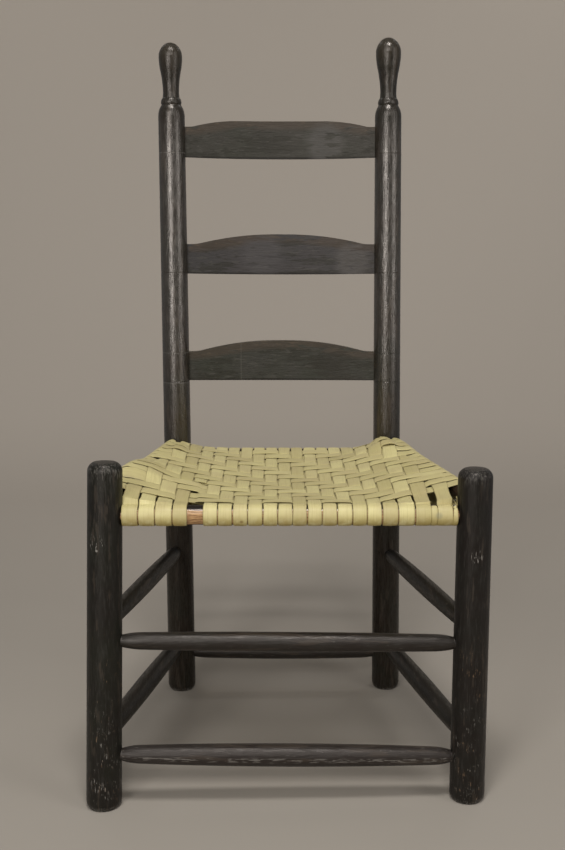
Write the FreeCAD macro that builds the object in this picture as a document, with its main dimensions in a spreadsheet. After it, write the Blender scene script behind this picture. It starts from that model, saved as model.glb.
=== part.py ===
import FreeCAD, Part
import math
import os
import Sketcher

# Ladderback chair with a woven splint seat, in millimetres.
# The chair faces -Y, +X is to the right as seen from the front, and +Z is up.
# Left and right are named as seen from the front.

SIZES = [
    # Posts: where each one stands, and where its top is
    ("front_left_foot_x", 233.8, "front left foot, sideways from the middle of the front"),
    ("front_right_foot_x", 226.0, "front right foot, sideways from the middle of the front"),
    ("front_left_foot_out", 19.5, "how far the front left foot stands forward of its top"),
    ("front_right_foot_out", 2.0, "how far the front right foot stands forward of its top"),
    ("front_top_x", 224.0, "front post tops, sideways from the middle of the front"),
    ("front_left_height", 438.5, "front left post"),
    ("front_right_height", 430.0, "front right post, worn a little shorter"),
    ("rear_left_foot_x", 166.0, "rear left foot, sideways"),
    ("rear_right_foot_x", 155.5, "rear right foot, sideways"),
    ("rear_left_foot_back", 0.0, "how far the rear left foot stands behind the post line"),
    ("rear_right_foot_back", 5.5, "how far the rear right foot stands behind the post line"),
    ("rear_left_top_x", 169.0, "rear left post at its shoulder, sideways"),
    ("rear_right_top_x", 143.5, "rear right post at its shoulder, sideways"),
    ("seat_depth", 339.0, "front post line to rear post line"),
    ("rear_rake", 3.6, "how far the rear posts lean back up to their shoulder"),
    # Posts: how they are turned
    ("front_foot_dia", 44.4, "front post at the foot"),
    ("front_neck_dia", 42.3, "front post just under its rounded top"),
    ("front_round", 12.0, "radius of the rounded end of a front post"),
    ("front_crown", 1.1, "rise of the nearly flat middle of that end"),
    ("rear_foot_dia", 42.4, "rear post at the foot"),
    ("rear_shoulder_dia", 38.2, "rear post at its shoulder"),
    ("shoulder_height", 872.0, "where the rear post is rounded over to its finial"),
    ("foot_round", 9.0, "height of the worn, rounded edge of a foot"),
    ("foot_wear", 3.5, "how far that edge draws in the foot, on the radius"),
    ("foot_waste", 4.0, "length left under a foot before it is trimmed level"),
    # Finials
    ("collar_rise", 16.0, "shoulder to the groove under the bead"),
    ("collar_dia", 28.0, "at that groove"),
    ("bead_dia", 29.4, "bead"),
    ("bead_rise", 10.0, "height of the bead"),
    ("neck_dia", 23.0, "neck above the bead"),
    ("neck_rise", 7.0, "bead to the thinnest part of the neck"),
    ("left_finial_rise", 102.0, "shoulder to the top of the left finial"),
    ("right_finial_rise", 109.5, "shoulder to the top of the right finial"),
    ("left_bulb_dia", 33.6, "bulb of the left finial"),
    ("right_bulb_dia", 36.0, "bulb of the right finial"),
    # Scribed layout lines on the rear posts
    ("scribe_width", 0.9, "scribed line"),
    ("scribe_depth", 0.4, "scribed line"),
    ("top_scribe_rise", 5.5, "line above the lower edge of the top slat"),
    ("middle_scribe_rise", 2.4, "line above the lower edge of the middle slat"),
    # Round tenons
    ("tenon_dia", 15.5, "tenons of rungs and seat rails"),
    ("tenon_past_axis", 6.0, "how far a tenon reaches past the axis of its post"),
    ("fit_clearance", 0.12, "play of a tenon in its socket, on the radius"),
    ("socket_spare", 1.0, "empty bottom of a socket"),
    ("shoulder_gap", 0.25, "post surface to the first widening of a rung or rail"),
    ("shoulder_cone", 4.5, "length of that widening on a seat rail"),
    ("rung_shoulder", 26.0, "length of the rounded widening of a rung"),
    # Seat rails
    ("rail_dia", 24.0, "seat rails under the weave"),
    ("front_rail_height", 372.0, "front seat rail"),
    ("rear_rail_height", 371.5, "rear seat rail"),
    ("side_rail_height", 390.0, "side seat rails"),
    # Rungs
    ("front_upper_left_height", 213.9, "upper front rung, left end"),
    ("front_upper_right_height", 207.2, "upper front rung, right end"),
    ("front_lower_left_height", 66.8, "lower front rung, left end"),
    ("front_lower_right_height", 56.5, "lower front rung, right end"),
    ("side_upper_left_front_height", 233.4, "upper left side rung, front end"),
    ("side_upper_left_rear_height", 227.0, "upper left side rung, rear end"),
    ("side_upper_right_front_height", 227.0, "upper right side rung, front end"),
    ("side_upper_right_rear_height", 221.7, "upper right side rung, rear end"),
    ("side_lower_left_front_height", 90.0, "lower left side rung, front end"),
    ("side_lower_left_rear_height", 77.5, "lower left side rung, rear end"),
    ("side_lower_right_front_height", 80.5, "lower right side rung, front end"),
    ("side_lower_right_rear_height", 73.0, "lower right side rung, rear end"),
    ("rear_rung_left_height", 59.0, "rear rung, left end"),
    ("rear_rung_right_height", 56.8, "rear rung, right end"),
    ("front_upper_belly", 24.5, "upper front rung at its middle"),
    ("front_upper_end", 21.5, "upper front rung at its ends"),
    ("front_lower_belly", 28.5, "lower front rung at its middle"),
    ("front_lower_end", 23.0, "lower front rung at its ends"),
    ("side_upper_belly", 24.5, "upper side rungs at their middle"),
    ("side_upper_end", 21.5, "upper side rungs at their ends"),
    ("side_lower_belly", 26.8, "lower side rungs at their middle"),
    ("side_lower_end", 23.5, "lower side rungs at their ends"),
    ("rear_belly", 23.0, "rear rung at its middle"),
    ("rear_end", 20.0, "rear rung at its ends"),
    # Slats
    ("slat_thickness", 8.0, "all slats"),
    ("slat_bow", 18.6, "how far a slat is bent back at its middle"),
    ("slat_end_height", 43.0, "slat at its ends, and its mortise"),
    ("slat_belly", 1.8, "how far the lower edge hangs at the middle"),
    ("slat_step", 6.0, "straight part of the upper edge beside each post"),
    ("top_slat_height", 815.0, "lower edge of the top slat"),
    ("top_slat_crown", 8.8, "rise of its upper edge"),
    ("top_slat_flat", 125.0, "straight part of the top of its crown"),
    ("middle_slat_height", 647.5, "lower edge of the middle slat"),
    ("middle_slat_crown", 14.2, "rise of its upper edge"),
    ("middle_slat_flat", 20.0, "straight part of the top of its crown"),
    ("lower_slat_height", 488.5, "lower edge of the lower slat"),
    ("lower_slat_crown", 15.2, "rise of its upper edge"),
    ("lower_slat_flat", 20.0, "straight part of the top of its crown"),
    ("slat_play", 0.25, "play of a slat in its mortise, each side"),
    ("peg_dia", 5.0, "pegs of the top slat"),
    ("peg_length", 30.0, "pegs, driven in from the back"),
    ("peg_proud", 0.6, "peg ends stand out of the back of the post"),
    ("peg_from_axis", 3.0, "pegs, from the post axis towards the slat"),
    ("peg_play", 0.1, "play of a peg in its hole, on the radius"),
    # Woven seat
    ("splint_thickness", 1.0, "both ways of the weave"),
    ("splint_gap", 0.2, "between a splint and the rail that it wraps"),
    ("weave_lift", 0.8, "how far a splint lies above or below the middle of the weave"),
    ("warp_width", 17.2, "splints that run front to back"),
    ("first_warp_front_x", 133.5, "first whole warp at the front rail, left of the middle"),
    ("first_warp_rear_x", 137.2, "first whole warp at the rear rail, left of the middle"),
    ("warp_front_pitch", 18.1, "whole warps, one to the next at the front rail"),
    ("warp_rear_pitch", 18.8, "whole warps, one to the next at the rear rail"),
    ("corner_pitch", 19.9, "corner warps, one to the next"),
    ("weft_gap", 1.2, "between one weft and the next"),
    ("weft_start", 6.5, "front post line to the first weft, at the middle"),
    ("weft_end", 9.0, "last weft to the rear post line, at the middle"),
    ("weft_post_gap", 1.0, "wefts to the posts, along the side rails"),
    ("top_sag", 8.5, "how far the middle of the top weave hangs"),
    ("bottom_sag", 2.0, "how far the middle of the bottom weave hangs"),
]

# Counts of the weave, as the seat shows them
WHOLE_WARPS = 14
LEFT_CORNER_WARPS = 3
RIGHT_CORNER_WARPS = 4
WEFTS = 14
BROKEN_WARP = 5
FIRST_ROW_OF_BROKEN_WARP = 5
WRAP_STEPS = 7
TOP_SHAPE = 1.8
TOP_SHAPE_AT_RAILS = 6.5
RAIL_SHARE_POWER = 4
BOTTOM_SHAPE = 3.0
ROW_SHAPE = 2.5

doc = FreeCAD.newDocument("LadderbackChair")
sheet = doc.addObject("Spreadsheet::Sheet", "Sizes")
for row, (alias, number, note) in enumerate(SIZES, 1):
    sheet.set(f"A{row}", note)
    sheet.set(f"B{row}", str(number))
    sheet.setAlias(f"B{row}", alias)
doc.recompute()

V = FreeCAD.Vector
UP = V(0, 0, 1)


# A length that keeps the sheet formula it comes from
class Length:
    def __init__(self, value, formula):
        self.value = float(value)
        self.formula = formula

    def __add__(self, other):
        other = as_length(other)
        return Length(self.value + other.value, f"({self.formula} + {other.formula})")

    def __sub__(self, other):
        other = as_length(other)
        return Length(self.value - other.value, f"({self.formula} - {other.formula})")

    def __mul__(self, other):
        other = as_length(other)
        return Length(self.value * other.value, f"({self.formula} * {other.formula})")

    def __truediv__(self, other):
        other = as_length(other)
        return Length(self.value / other.value, f"({self.formula} / {other.formula})")


def as_length(thing):
    return thing if isinstance(thing, Length) else Length(thing, str(thing))


def root(length):
    return Length(math.sqrt(length.value), f"sqrt({length.formula})")


def size(alias):
    return Length(sheet.get(alias), f"Sizes.{alias}")


def mm(alias):
    return float(sheet.get(alias))


# Radius of an arc that starts square to its sagging side and moves over by across in a run of along
def easy_radius(across, along):
    return (across * across + along * along) / (across * 2)


# Radius of an arc that rises by rise over a chord of length span
def bow_radius(span, rise):
    return (span * span / 4 + rise * rise) / (rise * 2)


# Sketches: each corner is bound to the sheet, and an arc is given by its radius and turn
def arc_centre(start, end, radius, turn):
    half = (end - start) * 0.5
    rise = math.sqrt(max(radius**2 - half.Length**2, 0))
    left = V(-half.y, half.x, 0)
    left.normalize()
    return start + half + left * rise * turn


def bind(sketch, constraint, length):
    number = sketch.addConstraint(constraint)
    sketch.setExpression(f"Constraints[{number}]", length.formula)


def draw_outline(sketch, corners, arcs):
    points = [V(as_length(x).value, as_length(y).value, 0) for x, y in corners]
    ends = []
    for index, start in enumerate(points):
        end = points[(index + 1) % len(points)]
        if index not in arcs:
            sketch.addGeometry(Part.LineSegment(start, end))
            ends.append((1, 2))
            continue
        radius, turn = arcs[index]
        centre = arc_centre(start, end, radius.value, turn)
        first, last = (start, end) if turn > 0 else (end, start)
        angles = [math.atan2(point.y - centre.y, point.x - centre.x) for point in (first, last)]
        sketch.addGeometry(Part.ArcOfCircle(Part.Circle(centre, UP, radius.value), *angles))
        ends.append((1, 2) if turn > 0 else (2, 1))
    for index in range(len(points)):
        after = (index + 1) % len(points)
        sketch.addConstraint(Sketcher.Constraint("Coincident", index, ends[index][1], after, ends[after][0]))
    for index, corner in enumerate(corners):
        for kind, axis, length in (("DistanceX", -2, corner[0]), ("DistanceY", -1, corner[1])):
            if isinstance(length, Length):
                place = Sketcher.Constraint(kind, -1, 1, index, ends[index][0], length.value)
                bind(sketch, place, length)
            else:
                sketch.addConstraint(Sketcher.Constraint("PointOnObject", index, ends[index][0], axis))
    for index, (radius, turn) in arcs.items():
        bind(sketch, Sketcher.Constraint("Radius", index, radius.value), radius)


def new_body(name, role, corners, arcs):
    body = doc.addObject("PartDesign::Body", name)
    plane = [feature for feature in body.Origin.OriginFeatures if feature.Role == role][0]
    sketch = body.newObject("Sketcher::SketchObject", name + "_outline")
    sketch.AttachmentSupport = (plane, [""])
    sketch.MapMode = "FlatFace"
    draw_outline(sketch, corners, arcs)
    return body, sketch


# A piece turned on the lathe, standing on its own axis
def turned_body(name, corners, arcs):
    body, sketch = new_body(name, "XZ_Plane", corners, arcs)
    turned = body.newObject("PartDesign::Revolution", name + "_turning")
    turned.Profile = sketch
    turned.ReferenceAxis = (sketch, ["V_Axis"])
    turned.Angle = 360
    return body


# A piece sawn out of a plank, half of its depth on each side of the sketch
def sawn_body(name, role, corners, arcs, depth):
    body, sketch = new_body(name, role, corners, arcs)
    pad = body.newObject("PartDesign::Pad", name + "_pad")
    pad.Profile = sketch
    pad.Midplane = True
    pad.setExpression("Length", depth.formula)
    return body


# Points are three lengths: across, back and up
def vector(point):
    return V(*[length.value for length in point])


def distance(start, end):
    parts = [b - a for a, b in zip(start, end)]
    return root(parts[0] * parts[0] + parts[1] * parts[1] + parts[2] * parts[2])


# A straight post, from the middle of its foot to the middle of its top
class Post:
    def __init__(self, name, side, foot_x, foot_y, top_x, top_y, top_height, foot_dia, top_dia):
        self.name = name
        self.foot = (foot_x * side, foot_y)
        self.top = (top_x * side, top_y)
        self.top_height = top_height
        self.foot_dia = foot_dia
        self.top_dia = top_dia
        self.cutters = []

    def axis_at(self, height):
        share = height / self.top_height
        across, back = [foot + (top - foot) * share for foot, top in zip(self.foot, self.top)]
        return across, back, height

    def radius_at(self, height):
        return (self.foot_dia + (self.top_dia - self.foot_dia) * (height / self.top_height)) / 2

    def placement(self):
        foot = vector(self.axis_at(as_length(0)))
        direction = vector(self.axis_at(self.top_height)) - foot
        direction.normalize()
        return FreeCAD.Placement(foot - direction * mm("foot_waste"), FreeCAD.Rotation(UP, direction))


LEFT = -1
RIGHT = 1
seat_depth = size("seat_depth")
rake_top = seat_depth + size("rear_rake")
posts = {}
for side, word in ((LEFT, "left"), (RIGHT, "right")):
    posts["front", side] = Post(
        f"front_post_{word}", side,
        size(f"front_{word}_foot_x"), size(f"front_{word}_foot_out") * -1, size("front_top_x"), as_length(0),
        size(f"front_{word}_height"), size("front_foot_dia"), size("front_neck_dia"))
    posts["rear", side] = Post(
        f"rear_post_{word}", side,
        size(f"rear_{word}_foot_x"), seat_depth + size(f"rear_{word}_foot_back"), size(f"rear_{word}_top_x"), rake_top,
        size("shoulder_height"), size("rear_foot_dia"), size("rear_shoulder_dia"))


# The worn foot, with some waste below it that is trimmed off level. Its rounded edge starts at this corner.
FOOT_EDGE = 2


def foot_corners(foot_dia):
    waste = size("foot_waste")
    foot = foot_dia / 2
    worn = foot - size("foot_wear")
    return [(0, 0), (worn, 0), (worn, waste), (foot, waste + size("foot_round"))]


def foot_rounding():
    return easy_radius(size("foot_wear"), size("foot_round")), 1


# Front post: a straight taper and a rounded top
def front_post_body(post):
    neck = post.top_dia / 2
    rounding = size("front_round")
    crown = size("front_crown")
    top = size("foot_waste") + post.top_height
    flat = neck - rounding + root(crown * rounding * 2 - crown * crown)
    corners = foot_corners(post.foot_dia)
    corners += [(neck, top - rounding), (flat, top - crown), (0, top)]
    arcs = {FOOT_EDGE: foot_rounding(), 4: (rounding, 1), 5: (easy_radius(crown, flat), 1)}
    return turned_body(post.name + "_blank", corners, arcs)


# Finial bulb: egg-shaped, a long arc up its side and a smaller one over its top, which meet smoothly.
# These are shares of the bulb's own radius.
EGG = 1.25
EGG_TURN = math.radians(50)
EGG_CAP = EGG - (EGG - 1) / math.cos(EGG_TURN)
EGG_CAP_X = 1 - EGG + EGG * math.cos(EGG_TURN)
EGG_CAP_UP = EGG * math.sin(EGG_TURN)
EGG_RISE = EGG - (EGG - 1) * (1 - math.sin(EGG_TURN)) / math.cos(EGG_TURN)

# Where the neck's hollow turns into the bulb, as shares of the way out and up
SWELL_OUT = 0.72
SWELL_UP = 0.66

# Radius of the neck's hollow as a share of its height
FLARE = 3.0

# The bead is widest below its middle, and its two arcs are shares of its height
BEAD_LOW = 0.4
BEAD_UNDERSIDE = 0.5
BEAD_TOPSIDE = 0.9
NECK_STEP = 0.6


# Rear post: a straight taper with scribed lines, then shoulder, bead, neck and bulb
def rear_post_body(post, finial_rise, bulb_dia, scribe_heights):
    waste = size("foot_waste")
    corners = foot_corners(post.foot_dia)
    half_width = size("scribe_width") / 2
    for height in scribe_heights:
        radius = post.radius_at(height)
        corners.append((radius, waste + height - half_width))
        corners.append((radius - size("scribe_depth"), waste + height))
        corners.append((radius, waste + height + half_width))
    shoulder = post.top_dia / 2
    collar = size("collar_dia") / 2
    bead = size("bead_dia") / 2
    neck = size("neck_dia") / 2
    bulb = bulb_dia / 2
    start = waste + post.top_height
    bead_bottom = start + size("collar_rise")
    bead_top = bead_bottom + size("bead_rise")
    neck_height = bead_top + size("neck_rise")
    top = start + finial_rise
    bulb_height = top - bulb * EGG_RISE
    swell = neck + (bulb - neck) * SWELL_OUT
    swell_height = neck_height + (bulb_height - neck_height) * SWELL_UP
    first = len(corners)
    corners += [
        (shoulder, start),
        (collar, bead_bottom),
        (bead, bead_bottom + size("bead_rise") * BEAD_LOW),
        (neck + NECK_STEP, bead_top),
        (neck, neck_height),
        (swell, swell_height),
        (bulb, bulb_height),
        (bulb * EGG_CAP_X, bulb_height + bulb * EGG_CAP_UP),
        (0, top),
    ]
    arcs = {
        FOOT_EDGE: foot_rounding(),
        first: (easy_radius(shoulder - collar, size("collar_rise")), 1),
        first + 1: (size("bead_rise") * BEAD_UNDERSIDE, 1),
        first + 2: (size("bead_rise") * BEAD_TOPSIDE, 1),
        first + 4: ((bulb_height - neck_height) * FLARE, -1),
        first + 5: (easy_radius(bulb - swell, bulb_height - swell_height), 1),
        first + 6: (bulb * EGG, 1),
        first + 7: (bulb * EGG_CAP, 1),
    }
    return turned_body(post.name + "_blank", corners, arcs)


# Between its two round tenons a seat rail is straight, with a short cone at each end. A rung has a belly,
# and widens to it in a rounded shoulder.
def rung_body(name, near, far, total, end_dia, belly_dia):
    tenon = size("tenon_dia") / 2
    widening = size("shoulder_cone") if belly_dia is None else size("rung_shoulder")
    end = end_dia / 2
    corners = [
        (0, 0),
        (tenon, 0),
        (tenon, near),
        (end, near + widening),
        (end, total - far - widening),
        (tenon, total - far),
        (tenon, total),
        (0, total),
    ]
    arcs = {}
    if belly_dia is not None:
        shoulder = (easy_radius(end - tenon, widening), 1)
        belly = (bow_radius(total - near - far - widening * 2, (belly_dia - end_dia) / 2), 1)
        arcs = {2: shoulder, 3: belly, 4: shoulder}
    return turned_body(name, corners, arcs)


# Tools that cut are longer than what they cut, so that they run past it
SOCKET_SPARE = 1.5
TOOL_SPARE = 3


# A round socket whose mouth opens along way
def cut_socket(post, name, point, way, radius):
    reach = size("tenon_past_axis") + size("socket_spare")
    socket = doc.addObject("Part::Cylinder", f"{name}_socket_in_{post.name}")
    socket.setExpression("Radius", (size("tenon_dia") / 2 + size("fit_clearance")).formula)
    socket.setExpression("Height", (reach + radius * SOCKET_SPARE).formula)
    socket.Placement = FreeCAD.Placement(vector(point) - way * reach.value, FreeCAD.Rotation(UP, way))
    post.cutters.append(socket)


def make_rung(name, first, first_height, last, last_height, end_dia, belly_dia=None):
    start = first.axis_at(first_height)
    end = last.axis_at(last_height)
    direction = vector(end) - vector(start)
    direction.normalize()
    past = size("tenon_past_axis")
    near = past + first.radius_at(first_height) + size("shoulder_gap")
    far = past + last.radius_at(last_height) + size("shoulder_gap")
    body = rung_body(name, near, far, distance(start, end) + past * 2, end_dia, belly_dia)
    body.Placement = FreeCAD.Placement(vector(start) - direction * past.value, FreeCAD.Rotation(UP, direction))
    cut_socket(first, name, start, direction, first.radius_at(first_height))
    cut_socket(last, name, end, direction * -1, last.radius_at(last_height))
    return body


nodes = {}


def keep(name, piece):
    piece.Label = name
    nodes[name] = piece


front_left = posts["front", LEFT]
front_right = posts["front", RIGHT]
rear_left = posts["rear", LEFT]
rear_right = posts["rear", RIGHT]
rail_dia = size("rail_dia")
keep("front_seat_rail", make_rung(
    "front_seat_rail", front_left, size("front_rail_height"), front_right, size("front_rail_height"), rail_dia))
keep("rear_seat_rail", make_rung(
    "rear_seat_rail", rear_left, size("rear_rail_height"), rear_right, size("rear_rail_height"), rail_dia))
for level in ("upper", "lower"):
    keep(f"front_rung_{level}", make_rung(
        f"front_rung_{level}",
        front_left, size(f"front_{level}_left_height"), front_right, size(f"front_{level}_right_height"),
        size(f"front_{level}_end"), size(f"front_{level}_belly")))
keep("rear_rung", make_rung(
    "rear_rung", rear_left, size("rear_rung_left_height"), rear_right, size("rear_rung_right_height"),
    size("rear_end"), size("rear_belly")))
for side, word in ((LEFT, "left"), (RIGHT, "right")):
    keep(f"side_seat_rail_{word}", make_rung(
        f"side_seat_rail_{word}", posts["front", side], size("side_rail_height"),
        posts["rear", side], size("side_rail_height"), rail_dia))
    for level in ("upper", "lower"):
        keep(f"side_rung_{level}_{word}", make_rung(
            f"side_rung_{level}_{word}",
            posts["front", side], size(f"side_{level}_{word}_front_height"),
            posts["rear", side], size(f"side_{level}_{word}_rear_height"),
            size(f"side_{level}_end"), size(f"side_{level}_belly")))


# Slats: a bent strip seen from above, cut to its arched outline seen from the front.
# The upper edge leaves its straight end in a small hollow, which takes this share of its run and rise.
HOLLOW_SHARE = 0.12

# Distance from the slat's sketches to its bent strip, so that no corner lies on an axis
LEEWAY = 20


def slat_outline(half, step, inset, lower, upper, crown, flat):
    long_run = half - step - flat / 2
    hollow_run = long_run * HOLLOW_SHARE
    hollow_rise = crown * HOLLOW_SHARE
    right_end = half * 2
    corners = [
        (0, lower),
        (inset, lower),
        (right_end - inset, lower),
        (right_end, lower),
        (right_end, upper),
        (right_end - step, upper),
        (right_end - step - hollow_run, upper + hollow_rise),
        (half + flat / 2, upper + crown),
        (half - flat / 2, upper + crown),
        (step + hollow_run, upper + hollow_rise),
        (step, upper),
        (0, upper),
    ]
    hollow = easy_radius(hollow_rise, hollow_run)
    arch = easy_radius(crown - hollow_rise, long_run - hollow_run)
    belly = bow_radius(right_end - inset * 2, size("slat_belly"))
    arcs = {1: (belly, 1), 5: (hollow, -1), 6: (arch, 1), 8: (arch, 1), 9: (hollow, -1)}
    return corners, arcs


# A mortise in a post, along the chord of the bent slat inside the post
def cut_mortise(post, name, inner, mouth, height):
    play = size("slat_play")
    way = mouth - inner
    angle = math.degrees(math.atan2(way.y, way.x))
    spare = size("socket_spare")
    mortise = doc.addObject("Part::Box", f"{name}_mortise_in_{post.name}")
    mortise.setExpression("Length", (post.radius_at(height) * 2).formula)
    mortise.setExpression("Width", (size("slat_thickness") + play * 2).formula)
    mortise.setExpression("Height", (size("slat_end_height") + play * 2).formula)
    turn = FreeCAD.Rotation(UP, angle)
    width = mm("slat_thickness") + 2 * play.value
    offset = turn.multVec(V(-spare.value, -width / 2, -play.value))
    mortise.Placement = FreeCAD.Placement(V(inner.x, inner.y, height.value) + offset, turn)
    post.cutters.append(mortise)


def make_slat(name, height, crown, flat):
    thickness = size("slat_thickness")
    past = size("tenon_past_axis")
    belly = size("slat_belly")
    middle_height = height + size("slat_end_height") / 2
    left = rear_left.axis_at(middle_height)
    right = rear_right.axis_at(middle_height)
    half_span = (right[0] - left[0]) / 2
    half = half_span + past
    radius = bow_radius(half_span * 2, size("slat_bow"))
    inner = radius - thickness / 2
    outer = radius + thickness / 2
    back = size("slat_bow") - radius + LEEWAY
    front_end = back + root(inner * inner - half * half)
    back_end = back + root(outer * outer - half * half)
    plan = [(0, front_end), (half * 2, front_end), (half * 2, back_end), (0, back_end)]
    full_height = belly + size("slat_end_height") + crown
    strip = sawn_body(name + "_strip", "XY_Plane", plan, {0: (inner, -1), 2: (outer, 1)}, full_height * TOOL_SPARE)
    inset = past + rear_left.radius_at(middle_height)
    corners, arcs = slat_outline(
        half, inset + size("slat_step"), inset, belly, belly + size("slat_end_height"), crown, flat)
    face = sawn_body(name + "_face", "XZ_Plane", corners, arcs, (size("slat_bow") + thickness + LEEWAY) * TOOL_SPARE)
    slat = doc.addObject("Part::Common", name + "_bent")
    slat.Base = strip
    slat.Tool = face
    centre = (vector(left) + vector(right)) * 0.5
    corner = V(centre.x - half.value, centre.y - LEEWAY, height.value - belly.value)
    slat.Placement = FreeCAD.Placement(corner, FreeCAD.Rotation())

    # The bent middle line of the slat at a distance from its middle
    def bend_at(across):
        return V(centre.x + across, centre.y + mm("slat_bow") - radius.value + math.sqrt(radius.value**2 - across**2), 0)

    for post, way in ((rear_left, LEFT), (rear_right, RIGHT)):
        mouth = (half_span - post.radius_at(middle_height)).value
        cut_mortise(post, name, bend_at(half.value * way), bend_at(mouth * way), height)
    return slat


slats = {}
for word in ("top", "middle", "lower"):
    slats[word] = make_slat(
        f"{word}_slat", size(f"{word}_slat_height"), size(f"{word}_slat_crown"), size(f"{word}_slat_flat"))


# Pegs hold the top slat: each is driven through the post and the tenon from the back
def peg_cylinder(name, radius, post, way, spare):
    height = size("top_slat_height") + size("slat_end_height") / 2
    axis = vector(post.axis_at(height))
    start_y = axis.y + post.radius_at(height).value + mm("peg_proud") + spare
    peg = doc.addObject("Part::Cylinder", name)
    peg.setExpression("Radius", radius.formula)
    peg.setExpression("Height", (size("peg_length") + spare * 2).formula)
    start = V(axis.x - way * mm("peg_from_axis"), start_y, height.value)
    peg.Placement = FreeCAD.Placement(start, FreeCAD.Rotation(UP, V(0, -1, 0)))
    return peg


peg_radius = size("peg_dia") / 2
peg_pieces = []
peg_holes = []
for post, way in ((rear_left, LEFT), (rear_right, RIGHT)):
    peg_pieces.append(peg_cylinder(f"peg_in_{post.name}", peg_radius, post, way, 0))
    hole_radius = peg_radius + size("peg_play")
    hole = peg_cylinder(f"peg_hole_in_{post.name}", hole_radius, post, way, mm("peg_play"))
    post.cutters.append(hole)
    slat_hole = peg_cylinder(f"peg_hole_of_{post.name}", hole_radius, post, way, mm("peg_play"))
    peg_holes.append(slat_hole)
pegs = doc.addObject("Part::Compound", "slat_peg_pair")
pegs.Links = peg_pieces
keep("slat_pegs", pegs)


def fuse(name, pieces):
    together = doc.addObject("Part::MultiFuse", name)
    together.Shapes = pieces
    return together


def cut(name, base, tool):
    result = doc.addObject("Part::Cut", name)
    result.Base = base
    result.Tool = tool
    return result


keep("top_slat", cut("top_slat_drilled", slats["top"], fuse("top_slat_holes", peg_holes)))
keep("middle_slat", slats["middle"])
keep("lower_slat", slats["lower"])

# Posts: turned, bored, mortised and trimmed level at the foot
slat_lines = [
    size("lower_slat_height"),
    size("lower_slat_height") + size("slat_end_height"),
    size("middle_slat_height") + size("middle_scribe_rise"),
    size("top_slat_height") + size("top_scribe_rise"),
]
blanks = {
    "front_post_left": front_post_body(front_left),
    "front_post_right": front_post_body(front_right),
    "rear_post_left": rear_post_body(rear_left, size("left_finial_rise"), size("left_bulb_dia"), slat_lines),
    "rear_post_right": rear_post_body(rear_right, size("right_finial_rise"), size("right_bulb_dia"), slat_lines),
}
for post in posts.values():
    blank = blanks[post.name]
    blank.Placement = post.placement()
    trim = doc.addObject("Part::Box", f"floor_under_{post.name}")
    for edge in ("Length", "Width"):
        trim.setExpression(edge, (post.foot_dia * 2).formula)
    depth_below = size("foot_waste") * TOOL_SPARE
    trim.setExpression("Height", depth_below.formula)
    corner = vector(post.axis_at(as_length(0))) - V(post.foot_dia.value, post.foot_dia.value, depth_below.value)
    trim.Placement = FreeCAD.Placement(corner, FreeCAD.Rotation())
    cutters = fuse(f"cutters_of_{post.name}", post.cutters + [trim])
    keep(post.name, cut(f"{post.name}_bored", blank, cutters))
doc.recompute()

# Woven seat: whole warps pass round the front and rear rails, corner warps only round the front one
TOP = 1
BOTTOM = -1
FRONT = -1
BACK = 1
CROSSING_STEPS = 4
NARROWEST_TAIL = 0.45
thickness = mm("splint_thickness")
reach = mm("rail_dia") / 2 + mm("splint_gap") + thickness / 2
wrap_reach = reach / math.cos(math.pi / WRAP_STEPS / 2)
depth = mm("seat_depth")
warp_width = mm("warp_width")
last_column = LEFT_CORNER_WARPS + WHOLE_WARPS + RIGHT_CORNER_WARPS


# Middle line of the front and of the rear seat rail
def cross_rail_y(row, x):
    height = size(f"{row}_rail_height")
    left = vector(posts[row, LEFT].axis_at(height))
    right = vector(posts[row, RIGHT].axis_at(height))
    return left.y + (right.y - left.y) * (x - left.x) / (right.x - left.x)


def side_rail_x(side, back):
    front = vector(posts["front", side].axis_at(size("side_rail_height")))
    rear = vector(posts["rear", side].axis_at(size("side_rail_height")))
    return front.x + (rear.x - front.x) * (back - front.y) / (rear.y - front.y)


# How far out towards the side rails a point lies: 0 at the middle, 1 at the rail
def outwards(x, back):
    left = side_rail_x(LEFT, back)
    right = side_rail_x(RIGHT, back)
    return min(abs(x - (left + right) / 2) / ((right - left) / 2), 1)


# Height of the middle of the weave: it hangs between four rails, the side ones being higher.
# Beside the front and the rear rail the top stays flat for longer before it rises to the side.
def weave_height(layer, x, back):
    share = back / depth
    front = mm("front_rail_height") + layer * reach
    rear = mm("rear_rail_height") + layer * reach
    side = mm("side_rail_height") + layer * reach
    sag = mm("top_sag") if layer == TOP else mm("bottom_sag")
    hung = front + (rear - front) * share - sag * 4 * share * (1 - share)
    if layer == BOTTOM:
        return hung + (side - hung) * outwards(x, back)**BOTTOM_SHAPE
    near_rail = abs(share * 2 - 1)**RAIL_SHARE_POWER
    shape = TOP_SHAPE + (TOP_SHAPE_AT_RAILS - TOP_SHAPE) * near_rail
    return hung + (side - hung) * outwards(x, back)**shape


# Line between weft number row and the next one: straighter at the sides, where the posts stand
def row_line(row, x):
    middle_start = mm("weft_start")
    middle_end = depth - mm("weft_end")
    side_start = mm("front_foot_dia") / 2 + mm("weft_post_gap")
    side_end = depth - mm("rear_foot_dia") / 2 - mm("weft_post_gap")
    middle = middle_start + (middle_end - middle_start) * row / WEFTS
    side = side_start + (side_end - side_start) * row / WEFTS
    return middle + (side - middle) * outwards(x, middle)**ROW_SHAPE


def warp_x(column, back):
    beside = column - LEFT_CORNER_WARPS - 1
    whole = min(max(beside, 0), WHOLE_WARPS - 1)
    corner = mm("corner_pitch") * (beside - whole)
    front = -mm("first_warp_front_x") + mm("warp_front_pitch") * whole
    rear = -mm("first_warp_rear_x") + mm("warp_rear_pitch") * whole
    return front + (rear - front) * back / depth + corner


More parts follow.
